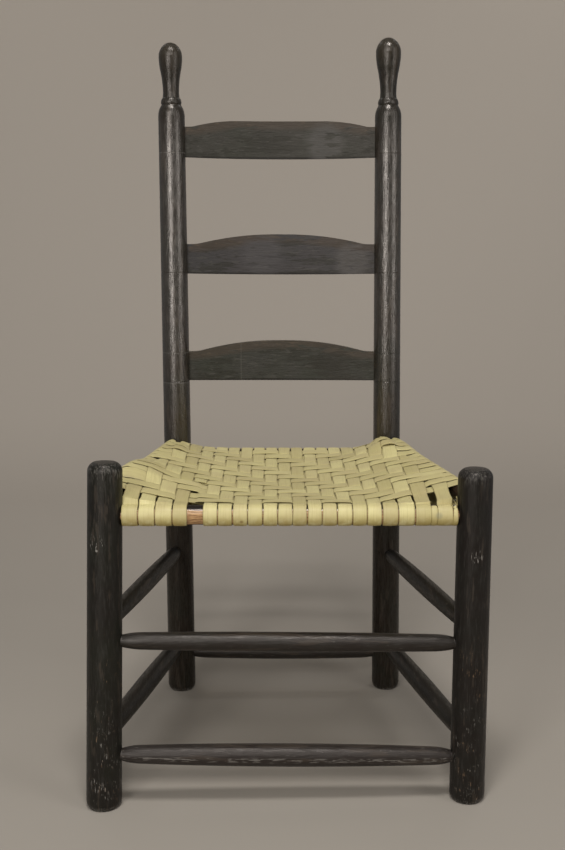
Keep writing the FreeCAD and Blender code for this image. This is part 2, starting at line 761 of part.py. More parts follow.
# Left and right edge of a warp: a corner warp is cut off slanting along its side rail
def warp_edges(column, back):
    x = warp_x(column, back)
    inner_left = side_rail_x(LEFT, back) + reach + thickness
    inner_right = side_rail_x(RIGHT, back) - reach - thickness
    return max(x - warp_width / 2, inner_left), min(x + warp_width / 2, inner_right)


def is_whole(column):
    return LEFT_CORNER_WARPS < column <= LEFT_CORNER_WARPS + WHOLE_WARPS


# A corner warp ends at the last weft where enough of its width is left beside the rail
def last_row(column):
    rows = 0
    for row in range(1, WEFTS + 1):
        left, right = warp_edges(column, row_line(row, warp_x(column, row_line(row, 0))))
        if right - left > NARROWEST_TAIL * warp_width:
            rows = row
    return rows


LAST_ROWS = {column: last_row(column) for column in range(1, last_column + 1)}


def crosses(column, row, layer):
    if column == BROKEN_WARP and layer == TOP and row < FIRST_ROW_OF_BROKEN_WARP:
        return False
    return row <= LAST_ROWS[column]


# Two over and two under, moved by one from row to row
def weft_is_outside(column, row):
    return (column + row) % 4 in (0, 3)


# Where one edge of a warp crosses one edge of a weft; both splints turn over and under there
def crossing(column, column_side, row, row_side, layer, lift):
    back = row_line(row, 0)
    for _ in range(CROSSING_STEPS):
        x = warp_edges(column, back)[0 if column_side == LEFT else 1]
        if row_side == FRONT:
            back = row_line(row - 1, x) + mm("weft_gap") / 2
        else:
            back = row_line(row, x) - mm("weft_gap") / 2
    return V(x, back, weave_height(layer, x, back) + layer * lift)


# A station of a splint is its two edges and the direction out of the seat
def warp_station(column, row, row_side, layer, lift):
    edges = [crossing(column, side, row, row_side, layer, lift) for side in (LEFT, RIGHT)]
    return edges[0], edges[1], V(0, 0, layer)


def weft_station(row, column, column_side, layer, lift):
    edges = [crossing(column, column_side, row, side, layer, lift) for side in (FRONT, BACK)]
    return edges[0], edges[1], V(0, 0, layer)


# A station where the splint comes up or goes down, and one at the end of each crossing
def run_of(numbers, station, lift_at, first_side, last_side):
    stations = []
    before = None
    for number in numbers:
        lift = lift_at(number)
        if lift != before:
            stations.append(station(number, first_side, lift))
        stations.append(station(number, last_side, lift))
        before = lift
    return stations


def warp_run(column, rows, layer):
    rows = list(rows)
    ends = (FRONT, BACK) if rows[0] < rows[-1] else (BACK, FRONT)
    lift = mm("weave_lift")
    return run_of(
        rows,
        lambda row, side, height: warp_station(column, row, side, layer, height),
        lambda row: -lift if weft_is_outside(column, row) else lift,
        *ends)


def weft_run(row, columns, layer):
    ends = (LEFT, RIGHT) if columns[0] < columns[-1] else (RIGHT, LEFT)
    lift = mm("weave_lift")
    return run_of(
        columns,
        lambda column, side, height: weft_station(row, column, side, layer, height),
        lambda column: lift if weft_is_outside(column, row) else -lift,
        *ends)


def middle_of(station):
    return (station[0] + station[1]) * 0.5


# Angle on a round rail at which a splint from a point beside it comes on, 0 being the far side
def tangent_angle(beside, above, radius):
    bearing = math.atan2(above, beside)
    opening = math.acos(min(radius / math.hypot(beside, above), 1))
    return bearing - math.copysign(opening, above)


def wrap_angles(first, last):
    return [first + (last - first) * step / WRAP_STEPS for step in range(WRAP_STEPS + 1)]


# Round the front or the rear rail, from one layer to the other
def warp_wrap(column, row, start, end):
    side = FRONT if row == "front" else BACK
    back = cross_rail_y(row, middle_of(start).x)
    axis_height = mm(f"{row}_rail_height")
    edges = warp_edges(column, back)
    angles = []
    for station in (start, end):
        middle = middle_of(station)
        angles.append(tangent_angle((middle.y - back) * side, middle.z - axis_height, wrap_reach))
    stations = []
    for angle in wrap_angles(*angles):
        out = V(0, side * math.cos(angle), math.sin(angle))
        left, right = [V(x, back, axis_height) + out * wrap_reach for x in edges]
        stations.append((left, right, out))
    return stations


# Round a side rail, along which the weft lies a little slanting
def weft_wrap(row, side, start, end):
    axis_x = side_rail_x(side, middle_of(start).y)
    front = row_line(row - 1, axis_x) + mm("weft_gap") / 2
    back = row_line(row, axis_x) - mm("weft_gap") / 2
    along = V(side_rail_x(side, back) - side_rail_x(side, front), back - front, 0)
    wide_reach = wrap_reach * along.Length / along.y
    axis_height = mm("side_rail_height")
    axis_x = side_rail_x(side, (front + back) / 2)
    angles = []
    for station in (start, end):
        middle = middle_of(station)
        angles.append(tangent_angle((middle.x - axis_x) * side, middle.z - axis_height, wide_reach))
    stations = []
    for angle in wrap_angles(*angles):
        out = V(side * math.cos(angle), 0, math.sin(angle))
        near, far = [V(side_rail_x(side, y), y, axis_height) + out * wide_reach for y in (front, back)]
        stations.append((near, far, out))
    return stations


# A flat splint through its stations
def splint_solid(stations):
    wires = []
    for first, second, out in stations:
        skin = out * (thickness / 2)
        corners = [first - skin, second - skin, second + skin, first + skin]
        wires.append(Part.makePolygon(corners + corners[:1]))
    return Part.makeLoft(wires, True, True)


def keep_splint(name, stations):
    splint = doc.addObject("Part::Feature", name)
    splint.Shape = splint_solid(stations)
    splint.Placement = FreeCAD.Placement()
    keep(name, splint)


def whole_warp(column):
    middle_row = WEFTS // 2
    under_front = warp_run(column, range(middle_row, 0, -1), BOTTOM)
    over = warp_run(column, range(1, WEFTS + 1), TOP)
    under_rear = warp_run(column, range(WEFTS, middle_row, -1), BOTTOM)
    front = warp_wrap(column, "front", under_front[-1], over[0])
    rear = warp_wrap(column, "rear", over[-1], under_rear[0])
    return under_front + front + over + rear + under_rear


def corner_warp(column):
    under = warp_run(column, range(LAST_ROWS[column], 0, -1), BOTTOM)
    over = warp_run(column, range(1, LAST_ROWS[column] + 1), TOP)
    return under + warp_wrap(column, "front", under[-1], over[0]) + over


# This warp has lost its front end, so the rail shows there
def broken_warp(column):
    over = warp_run(column, range(FIRST_ROW_OF_BROKEN_WARP, WEFTS + 1), TOP)
    under = warp_run(column, range(WEFTS, 0, -1), BOTTOM)
    return over + warp_wrap(column, "rear", over[-1], under[0]) + under


for column in range(1, last_column + 1):
    if column == BROKEN_WARP:
        route = broken_warp(column)
    elif is_whole(column):
        route = whole_warp(column)
    else:
        route = corner_warp(column)
    keep_splint(f"seat_warp_{column:02d}", route)

for row in range(1, WEFTS + 1):
    over_columns = [column for column in range(1, last_column + 1) if crosses(column, row, TOP)]
    under_columns = [column for column in range(1, last_column + 1) if crosses(column, row, BOTTOM)]
    middle_column = last_column // 2 + 1
    under_left = weft_run(row, [c for c in reversed(under_columns) if c <= middle_column], BOTTOM)
    over = weft_run(row, over_columns, TOP)
    under_right = weft_run(row, [c for c in reversed(under_columns) if c > middle_column], BOTTOM)
    left_wrap = weft_wrap(row, LEFT, under_left[-1], over[0])
    right_wrap = weft_wrap(row, RIGHT, over[-1], under_right[0])
    keep_splint(f"seat_weft_{row:02d}", under_left + left_wrap + over + right_wrap + under_right)
doc.recompute()

# The origin is on the floor, under the middle of the chair. The box is measured on fine meshes of the pieces,
# because the box that a turned arc reports for itself can be a little too large.
BOX_FINENESS = 0.02
bounds = FreeCAD.BoundBox()
for piece in nodes.values():
    for point in piece.Shape.tessellate(BOX_FINENESS)[0]:
        bounds.add(point)
to_origin = V(-bounds.Center.x, -bounds.Center.y, -bounds.ZMin)
for piece in nodes.values():
    piece.Placement.Base = piece.Placement.Base + to_origin
doc.recompute()

# Every object is sound before anything is written
for thing in doc.Objects:
    if "Invalid" in thing.State or "Error" in thing.State:
        raise RuntimeError(f"{thing.Name} did not build: {thing.State}")
for name, piece in nodes.items():
    if piece.Shape.isNull() or not piece.Shape.isValid():
        raise RuntimeError(f"{name} has no sound shape")

os.makedirs("parts", exist_ok=True)
for name, piece in nodes.items():
    piece.Shape.exportStep(f"parts/{name}.step")
lengths = [round(length, 2) for length in (bounds.XLength, bounds.YLength, bounds.ZLength)]
print(len(nodes), "pieces written, size", lengths, "moved by", [round(part, 2) for part in to_origin])
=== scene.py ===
import math
import random

import bpy
import numpy as np
from mathutils import Matrix, Vector


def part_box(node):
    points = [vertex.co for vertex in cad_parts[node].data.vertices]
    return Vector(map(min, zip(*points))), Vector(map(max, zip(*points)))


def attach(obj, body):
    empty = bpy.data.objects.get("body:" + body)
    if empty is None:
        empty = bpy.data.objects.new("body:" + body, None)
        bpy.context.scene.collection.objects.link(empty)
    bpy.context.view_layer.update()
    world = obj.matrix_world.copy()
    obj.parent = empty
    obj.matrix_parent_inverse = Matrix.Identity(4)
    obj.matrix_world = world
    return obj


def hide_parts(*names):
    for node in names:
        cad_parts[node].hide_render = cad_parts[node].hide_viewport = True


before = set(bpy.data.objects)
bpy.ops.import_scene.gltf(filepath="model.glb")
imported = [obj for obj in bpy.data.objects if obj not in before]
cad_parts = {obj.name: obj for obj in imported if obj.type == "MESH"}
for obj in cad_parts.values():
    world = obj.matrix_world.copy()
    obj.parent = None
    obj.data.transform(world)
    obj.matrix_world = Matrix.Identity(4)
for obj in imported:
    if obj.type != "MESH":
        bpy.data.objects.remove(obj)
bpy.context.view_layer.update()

# %% [markdown]
# This lesson dresses a ladderback chair. The carpenter's parts, which are the posts, rungs, rails and
# slats, come in as finished solids and only get their paint. The seat is woven here out of flat wood
# splints, because its look is in the thin strips: how they dip under each other, how they round the
# rails, and where they have torn.

# %% [markdown]
# First the camera, because everything is compared with a photograph. It stands in front of the chair
# at about table height and looks a little down. Its place was worked out from the lines of the posts
# and the floor points of the feet. The photograph is 565 by 850 pixels, and a lens of about 47 mm on a
# 36 mm sensor, measured along the longer side, gives its field of view.

# %% Camera
IMAGE_HEIGHT_PX = 850
FOCAL_LENGTH_PX = 1099.4
SENSOR_MM = 36
CAMERA_PLACE = Vector((-0.0127, -1.4593, 0.7192))
CAMERA_YAW = math.radians(0.291)
CAMERA_PITCH = math.radians(10.34)
CAMERA_ROLL = math.radians(0.1)

ahead = Vector((math.sin(CAMERA_YAW) * math.cos(CAMERA_PITCH),
                math.cos(CAMERA_YAW) * math.cos(CAMERA_PITCH),
                -math.sin(CAMERA_PITCH)))
level_right = Vector((math.cos(CAMERA_YAW), -math.sin(CAMERA_YAW), 0))
level_up = level_right.cross(ahead)
right = level_right * math.cos(CAMERA_ROLL) + level_up * math.sin(CAMERA_ROLL)
up = level_up * math.cos(CAMERA_ROLL) - level_right * math.sin(CAMERA_ROLL)
lens = bpy.data.cameras.new("camera")
lens.sensor_fit = "AUTO"
lens.sensor_width = SENSOR_MM
lens.lens = FOCAL_LENGTH_PX * SENSOR_MM / IMAGE_HEIGHT_PX
camera = bpy.data.objects.new("camera", lens)
camera.matrix_world = Matrix.Translation(CAMERA_PLACE) @ Matrix((right, up, -ahead)).transposed().to_4x4()
bpy.context.scene.collection.objects.link(camera)
bpy.context.scene.camera = camera
print("lens", round(lens.lens, 2), "mm")

# %% [markdown]
# A few small helpers serve every material. Colours are written as on a screen and turned into linear
# light by one function, one function adds every shader node, and sizes of patterns are given in real
# millimetres.

# %% Colours
def linear(hex_colour):
    channels = [int(hex_colour[i:i + 2], 16) / 255 for i in (1, 3, 5)]
    return tuple([c / 12.92 if c <= 0.04045 else ((c + 0.055) / 1.055) ** 2.4 for c in channels] + [1.0])


# %% Nodes
def add_node(tree, kind, inputs=None, **settings):
    made = tree.nodes.new(kind)
    for name, value in settings.items():
        setattr(made, name, value)
    for socket, source in (inputs or {}).items():
        if isinstance(source, bpy.types.NodeSocket):
            tree.links.new(source, made.inputs[socket])
        else:
            made.inputs[socket].default_value = source
    return made


def start_material(name):
    material = bpy.data.materials.new(name)
    material.use_nodes = True
    tree = material.node_tree
    return material, tree, tree.nodes["Principled BSDF"]


# %% Patterns and masks
MM = 0.001
PLAIN_NOISE = 0.5
AXES = {"across": 0, "back": 1, "up": 2}


def per_mm(length_mm):
    return 1 / (length_mm * MM)


def math_node(tree, operation, first, second=0.0):
    return add_node(tree, "ShaderNodeMath", {0: first, 1: second}, operation=operation).outputs["Value"]


def between(tree, value, start, end):
    mask = add_node(tree, "ShaderNodeMapRange", {"Value": value, "From Min": start, "From Max": end},
                    interpolation_type="SMOOTHSTEP")
    return mask.outputs["Result"]


def ramp(tree, value, start, end, low, high):
    limits = {"From Min": start, "From Max": end, "To Min": low, "To Max": high}
    return add_node(tree, "ShaderNodeMapRange", {"Value": value, **limits}).outputs["Result"]


def squeezed(tree, place, axis, stretch):
    scale = [1.0, 1.0, 1.0]
    scale[axis] = 1 / stretch
    return add_node(tree, "ShaderNodeMapping", {"Vector": place, "Scale": scale}).outputs["Vector"]


def noise(tree, vector, size_mm, detail, roughness):
    made = add_node(tree, "ShaderNodeTexNoise",
                    {"Vector": vector, "Scale": per_mm(size_mm), "Detail": detail, "Roughness": roughness})
    return made.outputs["Fac"]


def spots(tree, vector, size_mm, low, high, detail=4.0):
    return between(tree, noise(tree, vector, size_mm, detail, 0.6), low, high)


def distance(tree, place, point):
    away = add_node(tree, "ShaderNodeVectorMath", {0: place, 1: point}, operation="DISTANCE")
    return away.outputs["Value"]


def blend_colour(tree, factor, first, second):
    mixed = add_node(tree, "ShaderNodeMix", {0: factor, 6: first, 7: second}, data_type="RGBA")
    return mixed.outputs[2]


def bump(tree, height, strength, depth_mm, under=None):
    inputs = {"Height": height, "Strength": strength, "Distance": depth_mm * MM}
    if under:
        inputs["Normal"] = under
    return add_node(tree, "ShaderNodeBump", inputs).outputs["Normal"]


print("a pattern of 2 mm has scale", per_mm(2.0))

# %% [markdown]
# The room is a plain studio: a floor that curves up into a wall, so that no horizon shows. The backdrop
# is matt paper, so a rough surface with a faint cloudiness is all it needs. The sheet is one profile
# swept sideways: flat floor, a quarter bend, and the wall. The wall stands well back, so that a camera
# fits behind the chair too, and its paper is paler to make up for the light lost there.

# %% Floor and wall
WALL_Y = 3.0
BEND_RADIUS = 1.6
PALER_FROM_Y = 0.6
PALEST_Y = 2.0
SHEET_HALF_WIDTH = 1.45
SHEET_FRONT_Y = -4.0
WALL_TOP = 5.0
BEND_STEPS = 24
CLOUD_MM = 1000 / 0.7


def backdrop_paper():
    material, tree, shader = start_material("matt_backdrop_paper")
    place = add_node(tree, "ShaderNodeTexCoord").outputs["Object"]
    cloud = noise(tree, place, CLOUD_MM, 2.0, PLAIN_NOISE)
    near = blend_colour(tree, cloud, linear("#A79E93"), linear("#9E968B"))
    depth = add_node(tree, "ShaderNodeSeparateXYZ", {"Vector": place}).outputs["Y"]
    far = ramp(tree, depth, PALER_FROM_Y, PALEST_Y, 0.0, 1.0)
    tree.links.new(blend_colour(tree, far, near, linear("#B4AA9E")), shader.inputs["Base Color"])
    shader.inputs["Roughness"].default_value = 0.9
    shader.inputs["Specular IOR Level"].default_value = 0.2
    return material


profile = [(SHEET_FRONT_Y, 0.0)]
for step in range(BEND_STEPS + 1):
    turn = math.pi / 2 * step / BEND_STEPS
    forward = WALL_Y - BEND_RADIUS + BEND_RADIUS * math.sin(turn)
    profile.append((forward, BEND_RADIUS - BEND_RADIUS * math.cos(turn)))
profile.append((WALL_Y, WALL_TOP))
sheet_points = [(x, y, z) for y, z in profile for x in (-SHEET_HALF_WIDTH, SHEET_HALF_WIDTH)]
sheet_faces = [(2 * i, 2 * i + 1, 2 * i + 3, 2 * i + 2) for i in range(len(profile) - 1)]
sheet_mesh = bpy.data.meshes.new("studio_sheet")
sheet_mesh.from_pydata(sheet_points, [], sheet_faces)
sheet_mesh.shade_smooth()
sheet_mesh.materials.append(backdrop_paper())
sheet = bpy.data.objects.new("studio_sheet", sheet_mesh)
bpy.context.scene.collection.objects.link(sheet)
print("backdrop", len(sheet_faces), "faces")

# %% [markdown]
# Two tall soft boxes stand in front, one to the left and one to the right. On the waxed paint each one
# shows as a long upright highlight, which is what makes a round post look round. A wide one, high
# behind the camera, throws the soft shadow on the floor behind the chair. A small strong one above, a
# little in front of the chair, lights the seat and the tops of the rungs and throws the shadow under
# the seat. Two more light the wall. The world is kept dim and the sheet no wider than a real roll,
# because a round post mirrors its surroundings along both edges, and those should stay dark. Together
# the lights make a surface about as bright as its colour says.

# %% Lights
WORLD_STRENGTH = 0.2
CHAIR_MIDDLE = (0, 0, 0.75)
SEAT = (0, 0, 0.4)
# Each soft box has a name, its place, the point it faces, its width and height, and its radiance
SOFT_BOXES = [
    ("soft_box_left", (-1.1, -2.5, 1.3), CHAIR_MIDDLE, 0.75, 2.2, 6.2),
    ("soft_box_right", (1.95, -1.35, 1.3), CHAIR_MIDDLE, 0.8, 2.2, 2.3),
    ("soft_box_front", (0.0, -3.0, 2.3), SEAT, 1.6, 1.1, 3.2),
    ("soft_box_above", (0.0, -1.05, 2.9), SEAT, 0.6, 0.5, 36.0),
    ("soft_box_wall_left", (-1.4, 1.7, 2.6), (-1.2, WALL_Y, 0.8), 0.9, 0.5, 4.2),
    ("soft_box_wall_right", (1.4, 1.7, 2.6), (1.2, WALL_Y, 0.8), 0.9, 0.5, 5.6),
]


def soft_box(name, place, target, width, height, radiance):
    lamp = bpy.data.lights.new(name, "AREA")
    lamp.shape = "RECTANGLE"
    lamp.size = width
    lamp.size_y = height
    lamp.energy = radiance * math.pi * width * height
    lamp_object = bpy.data.objects.new(name, lamp)
    lamp_object.location = place
    lamp_object.rotation_euler = (Vector(target) - Vector(place)).to_track_quat("-Z", "Y").to_euler()
    bpy.context.scene.collection.objects.link(lamp_object)


for box in SOFT_BOXES:
    soft_box(*box)
world = bpy.data.worlds.new("even_fill")
world.use_nodes = True
world.node_tree.nodes["Background"].inputs["Color"].default_value = linear("#FFFFFF")
world.node_tree.nodes["Background"].inputs["Strength"].default_value = WORLD_STRENGTH
bpy.context.scene.world = world
bpy.context.scene.view_settings.view_transform = "Standard"
print("lights", [lamp.name for lamp in bpy.data.lights])

# %% [markdown]
# The frame is hardwood under old dark paint: nearly black, a little green, waxed to a shine and worn
# through to brown in places. Fine lengthwise streaks, which are the wood's pores and the brush marks,
# break up every highlight. The same paint runs along each piece's own length, so the pattern is
# squeezed along one axis: up for posts, sideways for slats and front rungs, back for side rungs. The
# wax is a warm reflection, strong where hands have polished the rear posts and weaker on the rest. Gloss
# is given as the lowest roughness, so a smaller number shines more.

# %% Paint: its numbers
STREAK_MM = 2.0
STREAK_STRETCH = 9.0
CHIP_STRETCH = 7.0
PATCH_MM = 55.0
DENT_MM = 4.0
WAX_TINT = "#FFF4EA"
STREAK_TINT = "#47443F"
UNPOLISHED = 0.1
POLISHED = 0.5
HANDLED_FROM = 0.30
HANDLED_FULL = 0.56
SHOULDER_FROM = 0.83
SHOULDER_FULL = 0.88
FINIAL_SHARE = 0.4
print("polished between", HANDLED_FULL, "and", SHOULDER_FROM, "m above the floor")

# %% [markdown]
# Wear is a list. Each entry says where it is, how large its flecks are in millimetres, how rare they
# are, what colour shows there and how strongly. Where can be everywhere, a band along one direction, a
# thin line, a round patch, or clusters inside one of these. A slat also has a ruler of its own: how far
# below its arched upper edge a point lies.

# %% Paint: where it is worn
def everywhere(tree, rulers):
    return 1.0


def band(ruler, start, full):
    return lambda tree, rulers: between(tree, rulers[ruler], start, full)


def line(ruler, middle, half_width):
    def mask(tree, rulers):
        away = math_node(tree, "ABSOLUTE", math_node(tree, "SUBTRACT", rulers[ruler], middle))
        return between(tree, away, half_width, half_width * 0.4)
    return mask


def patch(place, radius):
    def mask(tree, rulers):
        return between(tree, distance(tree, rulers["place"], place), radius, radius * 0.5)
    return mask


def clustered(where, size_mm, rarity):
    def mask(tree, rulers):
        cluster = spots(tree, rulers["place"], size_mm, rarity, rarity + 0.1, 2.0)
        return math_node(tree, "MULTIPLY", where(tree, rulers), cluster)
    return mask


# %% Paint: how far below a slat's arched edge
SLAT_END_HEIGHT = 0.0448
SLAT_STRAIGHT = 0.0315


def below_crown(tree, rulers, slat, flat):
    low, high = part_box(slat)
    half = (high.x - low.x) / 2
    crown = high.z - low.z - SLAT_END_HEIGHT
    aside = math_node(tree, "ABSOLUTE", math_node(tree, "SUBTRACT", rulers["across"], (low.x + high.x) / 2))
    rise = math_node(tree, "MULTIPLY", between(tree, aside, half - SLAT_STRAIGHT, flat / 2), crown)
    edge = math_node(tree, "ADD", rise, low.z + SLAT_END_HEIGHT)
    return math_node(tree, "SUBTRACT", edge, rulers["up"])


# %% Paint: its colour and surface
def paint_colour(tree, rulers, streak, chip_space, tones, wear):
    dark, green = tones
    patches = spots(tree, rulers["place"], PATCH_MM, 0.35, 0.65)
    colour = blend_colour(tree, patches, linear(dark), linear(green))
    faint = math_node(tree, "MULTIPLY", between(tree, streak, 0.5, 0.72), 0.2)
    colour = blend_colour(tree, faint, colour, linear(STREAK_TINT))
    for where, fleck_mm, rarity, tint, amount in wear:
        flecks = spots(tree, chip_space, fleck_mm, rarity, rarity + 0.07, 3.0)
        mask = math_node(tree, "MULTIPLY", where(tree, rulers), flecks)
        colour = blend_colour(tree, math_node(tree, "MULTIPLY", mask, amount), colour, linear(tint))
    return colour


def hand_polish(tree, up):
    rubbed = ramp(tree, up, HANDLED_FROM, HANDLED_FULL, UNPOLISHED, POLISHED)
    turned = ramp(tree, up, SHOULDER_FROM, SHOULDER_FULL, 1.0, FINIAL_SHARE)
    return math_node(tree, "MULTIPLY", rubbed, turned)


# %% Paint: the material
def painted_wood(name, along, tones, gloss, wax_ior, wear=(), slat=None, flat=0.0, fall=0.0, handled=False):
    material, tree, shader = start_material(name)
    place = add_node(tree, "ShaderNodeTexCoord").outputs["Object"]
    parts = add_node(tree, "ShaderNodeSeparateXYZ", {"Vector": place}).outputs
    rulers = {"place": place, "across": parts["X"], "back": parts["Y"], "up": parts["Z"]}
    if fall:
        rulers["up"] = math_node(tree, "ADD", parts["Z"], math_node(tree, "MULTIPLY", parts["X"], fall))
    if slat:
        rulers["below_crown"] = below_crown(tree, rulers, slat, flat)
    grain = squeezed(tree, place, AXES[along], STREAK_STRETCH)
    chip_space = squeezed(tree, place, AXES[along], CHIP_STRETCH)
    streak = noise(tree, grain, STREAK_MM, 4.0, 0.6)
    tree.links.new(paint_colour(tree, rulers, streak, chip_space, tones, wear), shader.inputs["Base Color"])
    dents = bump(tree, noise(tree, grain, DENT_MM, 3.0, 0.55), 0.4, 0.6)
    tree.links.new(bump(tree, streak, 0.6, 0.5, dents), shader.inputs["Normal"])
    tree.links.new(ramp(tree, streak, 0.4, 0.65, gloss, gloss + 0.2), shader.inputs["Roughness"])
    if handled:
        tree.links.new(hand_polish(tree, rulers["up"]), shader.inputs["Specular IOR Level"])
    shader.inputs["IOR"].default_value = wax_ior
    shader.inputs["Specular Tint"].default_value = linear(WAX_TINT)
    return material


def dress(names, material):
    for name in names:
        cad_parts[name].data.materials.clear()
        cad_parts[name].data.materials.append(material)


# %% [markdown]
# Feet are scraped pale, the lower posts are chipped by shoes, and the tops of the front posts are
# rubbed. The scribed layout lines of the left rear post hold dust, so they show pale.

# %% Paint: wear of the posts
# Each entry: where, the size of its flecks in mm, how rare they are, their colour, how strongly it shows
TAN = "#8A6F55"
DUST = "#9A948B"
GREY = "#77726A"
BROWN = "#3B332B"
post_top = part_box("front_post_left")[1].z
SLAT_NAMES = ("top_slat", "middle_slat", "lower_slat")
bottom_of = {name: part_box(name)[0].z for name in SLAT_NAMES}
scribed = [bottom_of["top_slat"] + 0.0073, bottom_of["lower_slat"] + SLAT_END_HEIGHT, bottom_of["lower_slat"]]
foot_wear = [(band("up", 0.008, 0.0), 1.4, 0.5, DUST, 0.45)]
chips = [
    (everywhere, 7.0, 0.58, BROWN, 0.5),
    (everywhere, 1.6, 0.72, GREY, 0.4),
    (clustered(band("up", 0.26, 0.15), 16.0, 0.54), 1.1, 0.60, TAN, 0.6),
    (clustered(band("up", 0.18, 0.07), 12.0, 0.52), 1.1, 0.59, DUST, 0.5),
    (band("up", post_top - 0.035, post_top - 0.004), 1.6, 0.52, GREY, 0.4),
]
left_chips = [
    (patch((-0.230, -0.183, 0.345), 0.015), 1.5, 0.60, DUST, 0.75),
    (patch((-0.229, -0.186, 0.333), 0.0024), 20.0, 0.0, DUST, 0.75),
    (patch((-0.236, -0.203, 0.036), 0.011), 1.6, 0.54, "#A8A199", 0.7),
]
right_chips = [(patch((0.229, -0.186, 0.325), 0.010), 1.6, 0.56, DUST, 0.8)]
finial_wear = [(everywhere, 8.0, 0.56, BROWN, 0.5), (band("up", 0.93, 0.965), 12.0, 0.3, "#2E281E", 0.8)]
line_dust = (0.4, 0.2, 0.2)
dusty_lines = [(line("up", height, 0.8 * MM), 5.0, 0.35, "#8F8B86", dust)
               for height, dust in zip(scribed, line_dust)]
print("scribed lines at", [round(height, 4) for height in scribed])

# %% Paint: posts
# Each post has its two tones, its gloss, the strength of its wax, its wear, and whether hands polish it
POSTS = {
    ("front", "left"): (("#110F0C", "#14150F"), 0.34, 1.4, foot_wear + chips + left_chips, False),
    ("front", "right"): (("#130F0D", "#141310"), 0.34, 1.4, foot_wear + chips + right_chips, False),
    ("rear", "left"): (("#201A14", "#1F1D17"), 0.22, 2.1, foot_wear + finial_wear + dusty_lines, True),
    ("rear", "right"): (("#201A14", "#1E1D17"), 0.22, 2.05, foot_wear + finial_wear, True),
}
for (end, side), (tones, gloss, wax_ior, wear, handled) in POSTS.items():
    paint_name = f"worn_dark_paint_{end}_{side}_post"
    paint = painted_wood(paint_name, "up", tones, gloss, wax_ior, wear, handled=handled)
    dress([f"{end}_post_{side}"], paint)
print("posts painted:", len(POSTS))

# %% Paint: rungs
LOWER_RUNG_FALL = 0.023
lower_rung = "front_rung_lower"
scuff_height = (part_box(lower_rung)[0].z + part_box(lower_rung)[1].z) / 2 - 0.004
rubbed = [(everywhere, 9.0, 0.56, "#3E352D", 0.5), (everywhere, 1.8, 0.66, GREY, 0.5)]
scuffs = [
    (line("up", scuff_height + 0.003, 4.0 * MM), 1.8, 0.52, DUST, 0.32),
    (line("up", scuff_height - 0.003, 1.3 * MM), 40.0, 0.4, "#0B0A09", 0.8),
]
across_paint = painted_wood("worn_dark_paint_rungs", "across", ("#1F1A17", "#211E1A"), 0.3, 1.45, rubbed)
scuffed_paint = painted_wood("worn_dark_paint_lower_rung", "across", ("#26201D", "#27221F"), 0.34, 1.45,
                             rubbed + scuffs, fall=LOWER_RUNG_FALL)
side_paint = painted_wood("worn_dark_paint_side_rungs", "back", ("#1A1713", "#1D1B16"), 0.34, 1.4, rubbed)
side_rungs = [f"side_rung_{level}_{side}" for level in ("upper", "lower") for side in ("left", "right")]
dress(["front_rung_upper", "rear_rung"], across_paint)
dress([lower_rung], scuffed_paint)
dress(side_rungs, side_paint)
print("rungs painted, scuff at", round(scuff_height, 4))

# %% [markdown]
# Hands have worn the crowns of the slats to brown, and a thin dark band along their lower edges is
# painted shade. The flat faces are matt and mottled, and the lowest one has a thin pale drip.

# %% Paint: slats
SLAT_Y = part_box("top_slat")[1].y - 0.01
# Each slat has its two tones, the length of its flat crown, and wear of its own
SLATS = {
    "top_slat": (("#34322D", "#32322B"), 0.125, [
        (patch((0.057, SLAT_Y, 0.836), 0.035), 8.0, 0.4, "#4D4A47", 0.6)]),
    "middle_slat": (("#3A3737", "#383636"), 0.02, [
        (patch((0.100, SLAT_Y, 0.667), 0.035), 8.0, 0.4, "#504C49", 0.6),
        (patch((-0.035, SLAT_Y, 0.675), 0.04), 8.0, 0.4, "#4A4747", 0.5)]),
    "lower_slat": (("#34332F", "#30312B"), 0.02, [
        (line("across", -0.067, 0.8 * MM), 14.0, 0.3, "#56544D", 0.45),
        (patch((0.075, SLAT_Y, 0.505), 0.05), 8.0, 0.4, "#24221D", 0.6)]),
}
for name, (tones, flat, extra) in SLATS.items():
    bottom = bottom_of[name]
    wear = [
        (everywhere, 12.0, 0.5, "#26251F", 0.6),
        (everywhere, 4.0, 0.58, "#46443F", 0.5),
        (everywhere, 1.5, 0.58, "#1B1A16", 0.5),
        (everywhere, 1.7, 0.64, "#5A564F", 0.35),
        (band("below_crown", 0.016, 0.006), 9.0, 0.38, "#443A31", 0.6),
        (band("below_crown", 0.010, 0.004), 2.2, 0.58, "#5C4E3F", 0.4),
        # Painted shade: a thin nearly black band along the lower edge, where the underside is in shade
        (band("up", bottom + 0.0045, bottom + 0.0015), 20.0, 0.0, "#12110F", 0.8),
    ]
    paint = painted_wood(f"worn_dark_paint_{name}", "across", tones, 0.42, 1.36, wear + extra, name, flat)
    dress([name], paint)
print("slats painted", list(SLATS))

# %% [markdown]
# The seat rails were never painted, because the weave hides them. Where a splint has torn off, the front
# rail shows as warm, hand-polished hardwood. Above and below that, where the splints close over the rail,
# it is painted nearly black as painted shade. The side and rear rails are brown with age.

# %% Bare rails and pegs
# Colour of the painted shade on the front rail, where the splints close over it
RAIL_PAINTED_SHADE = "#1A130D"
RAIL_STREAK_MM = 1.2


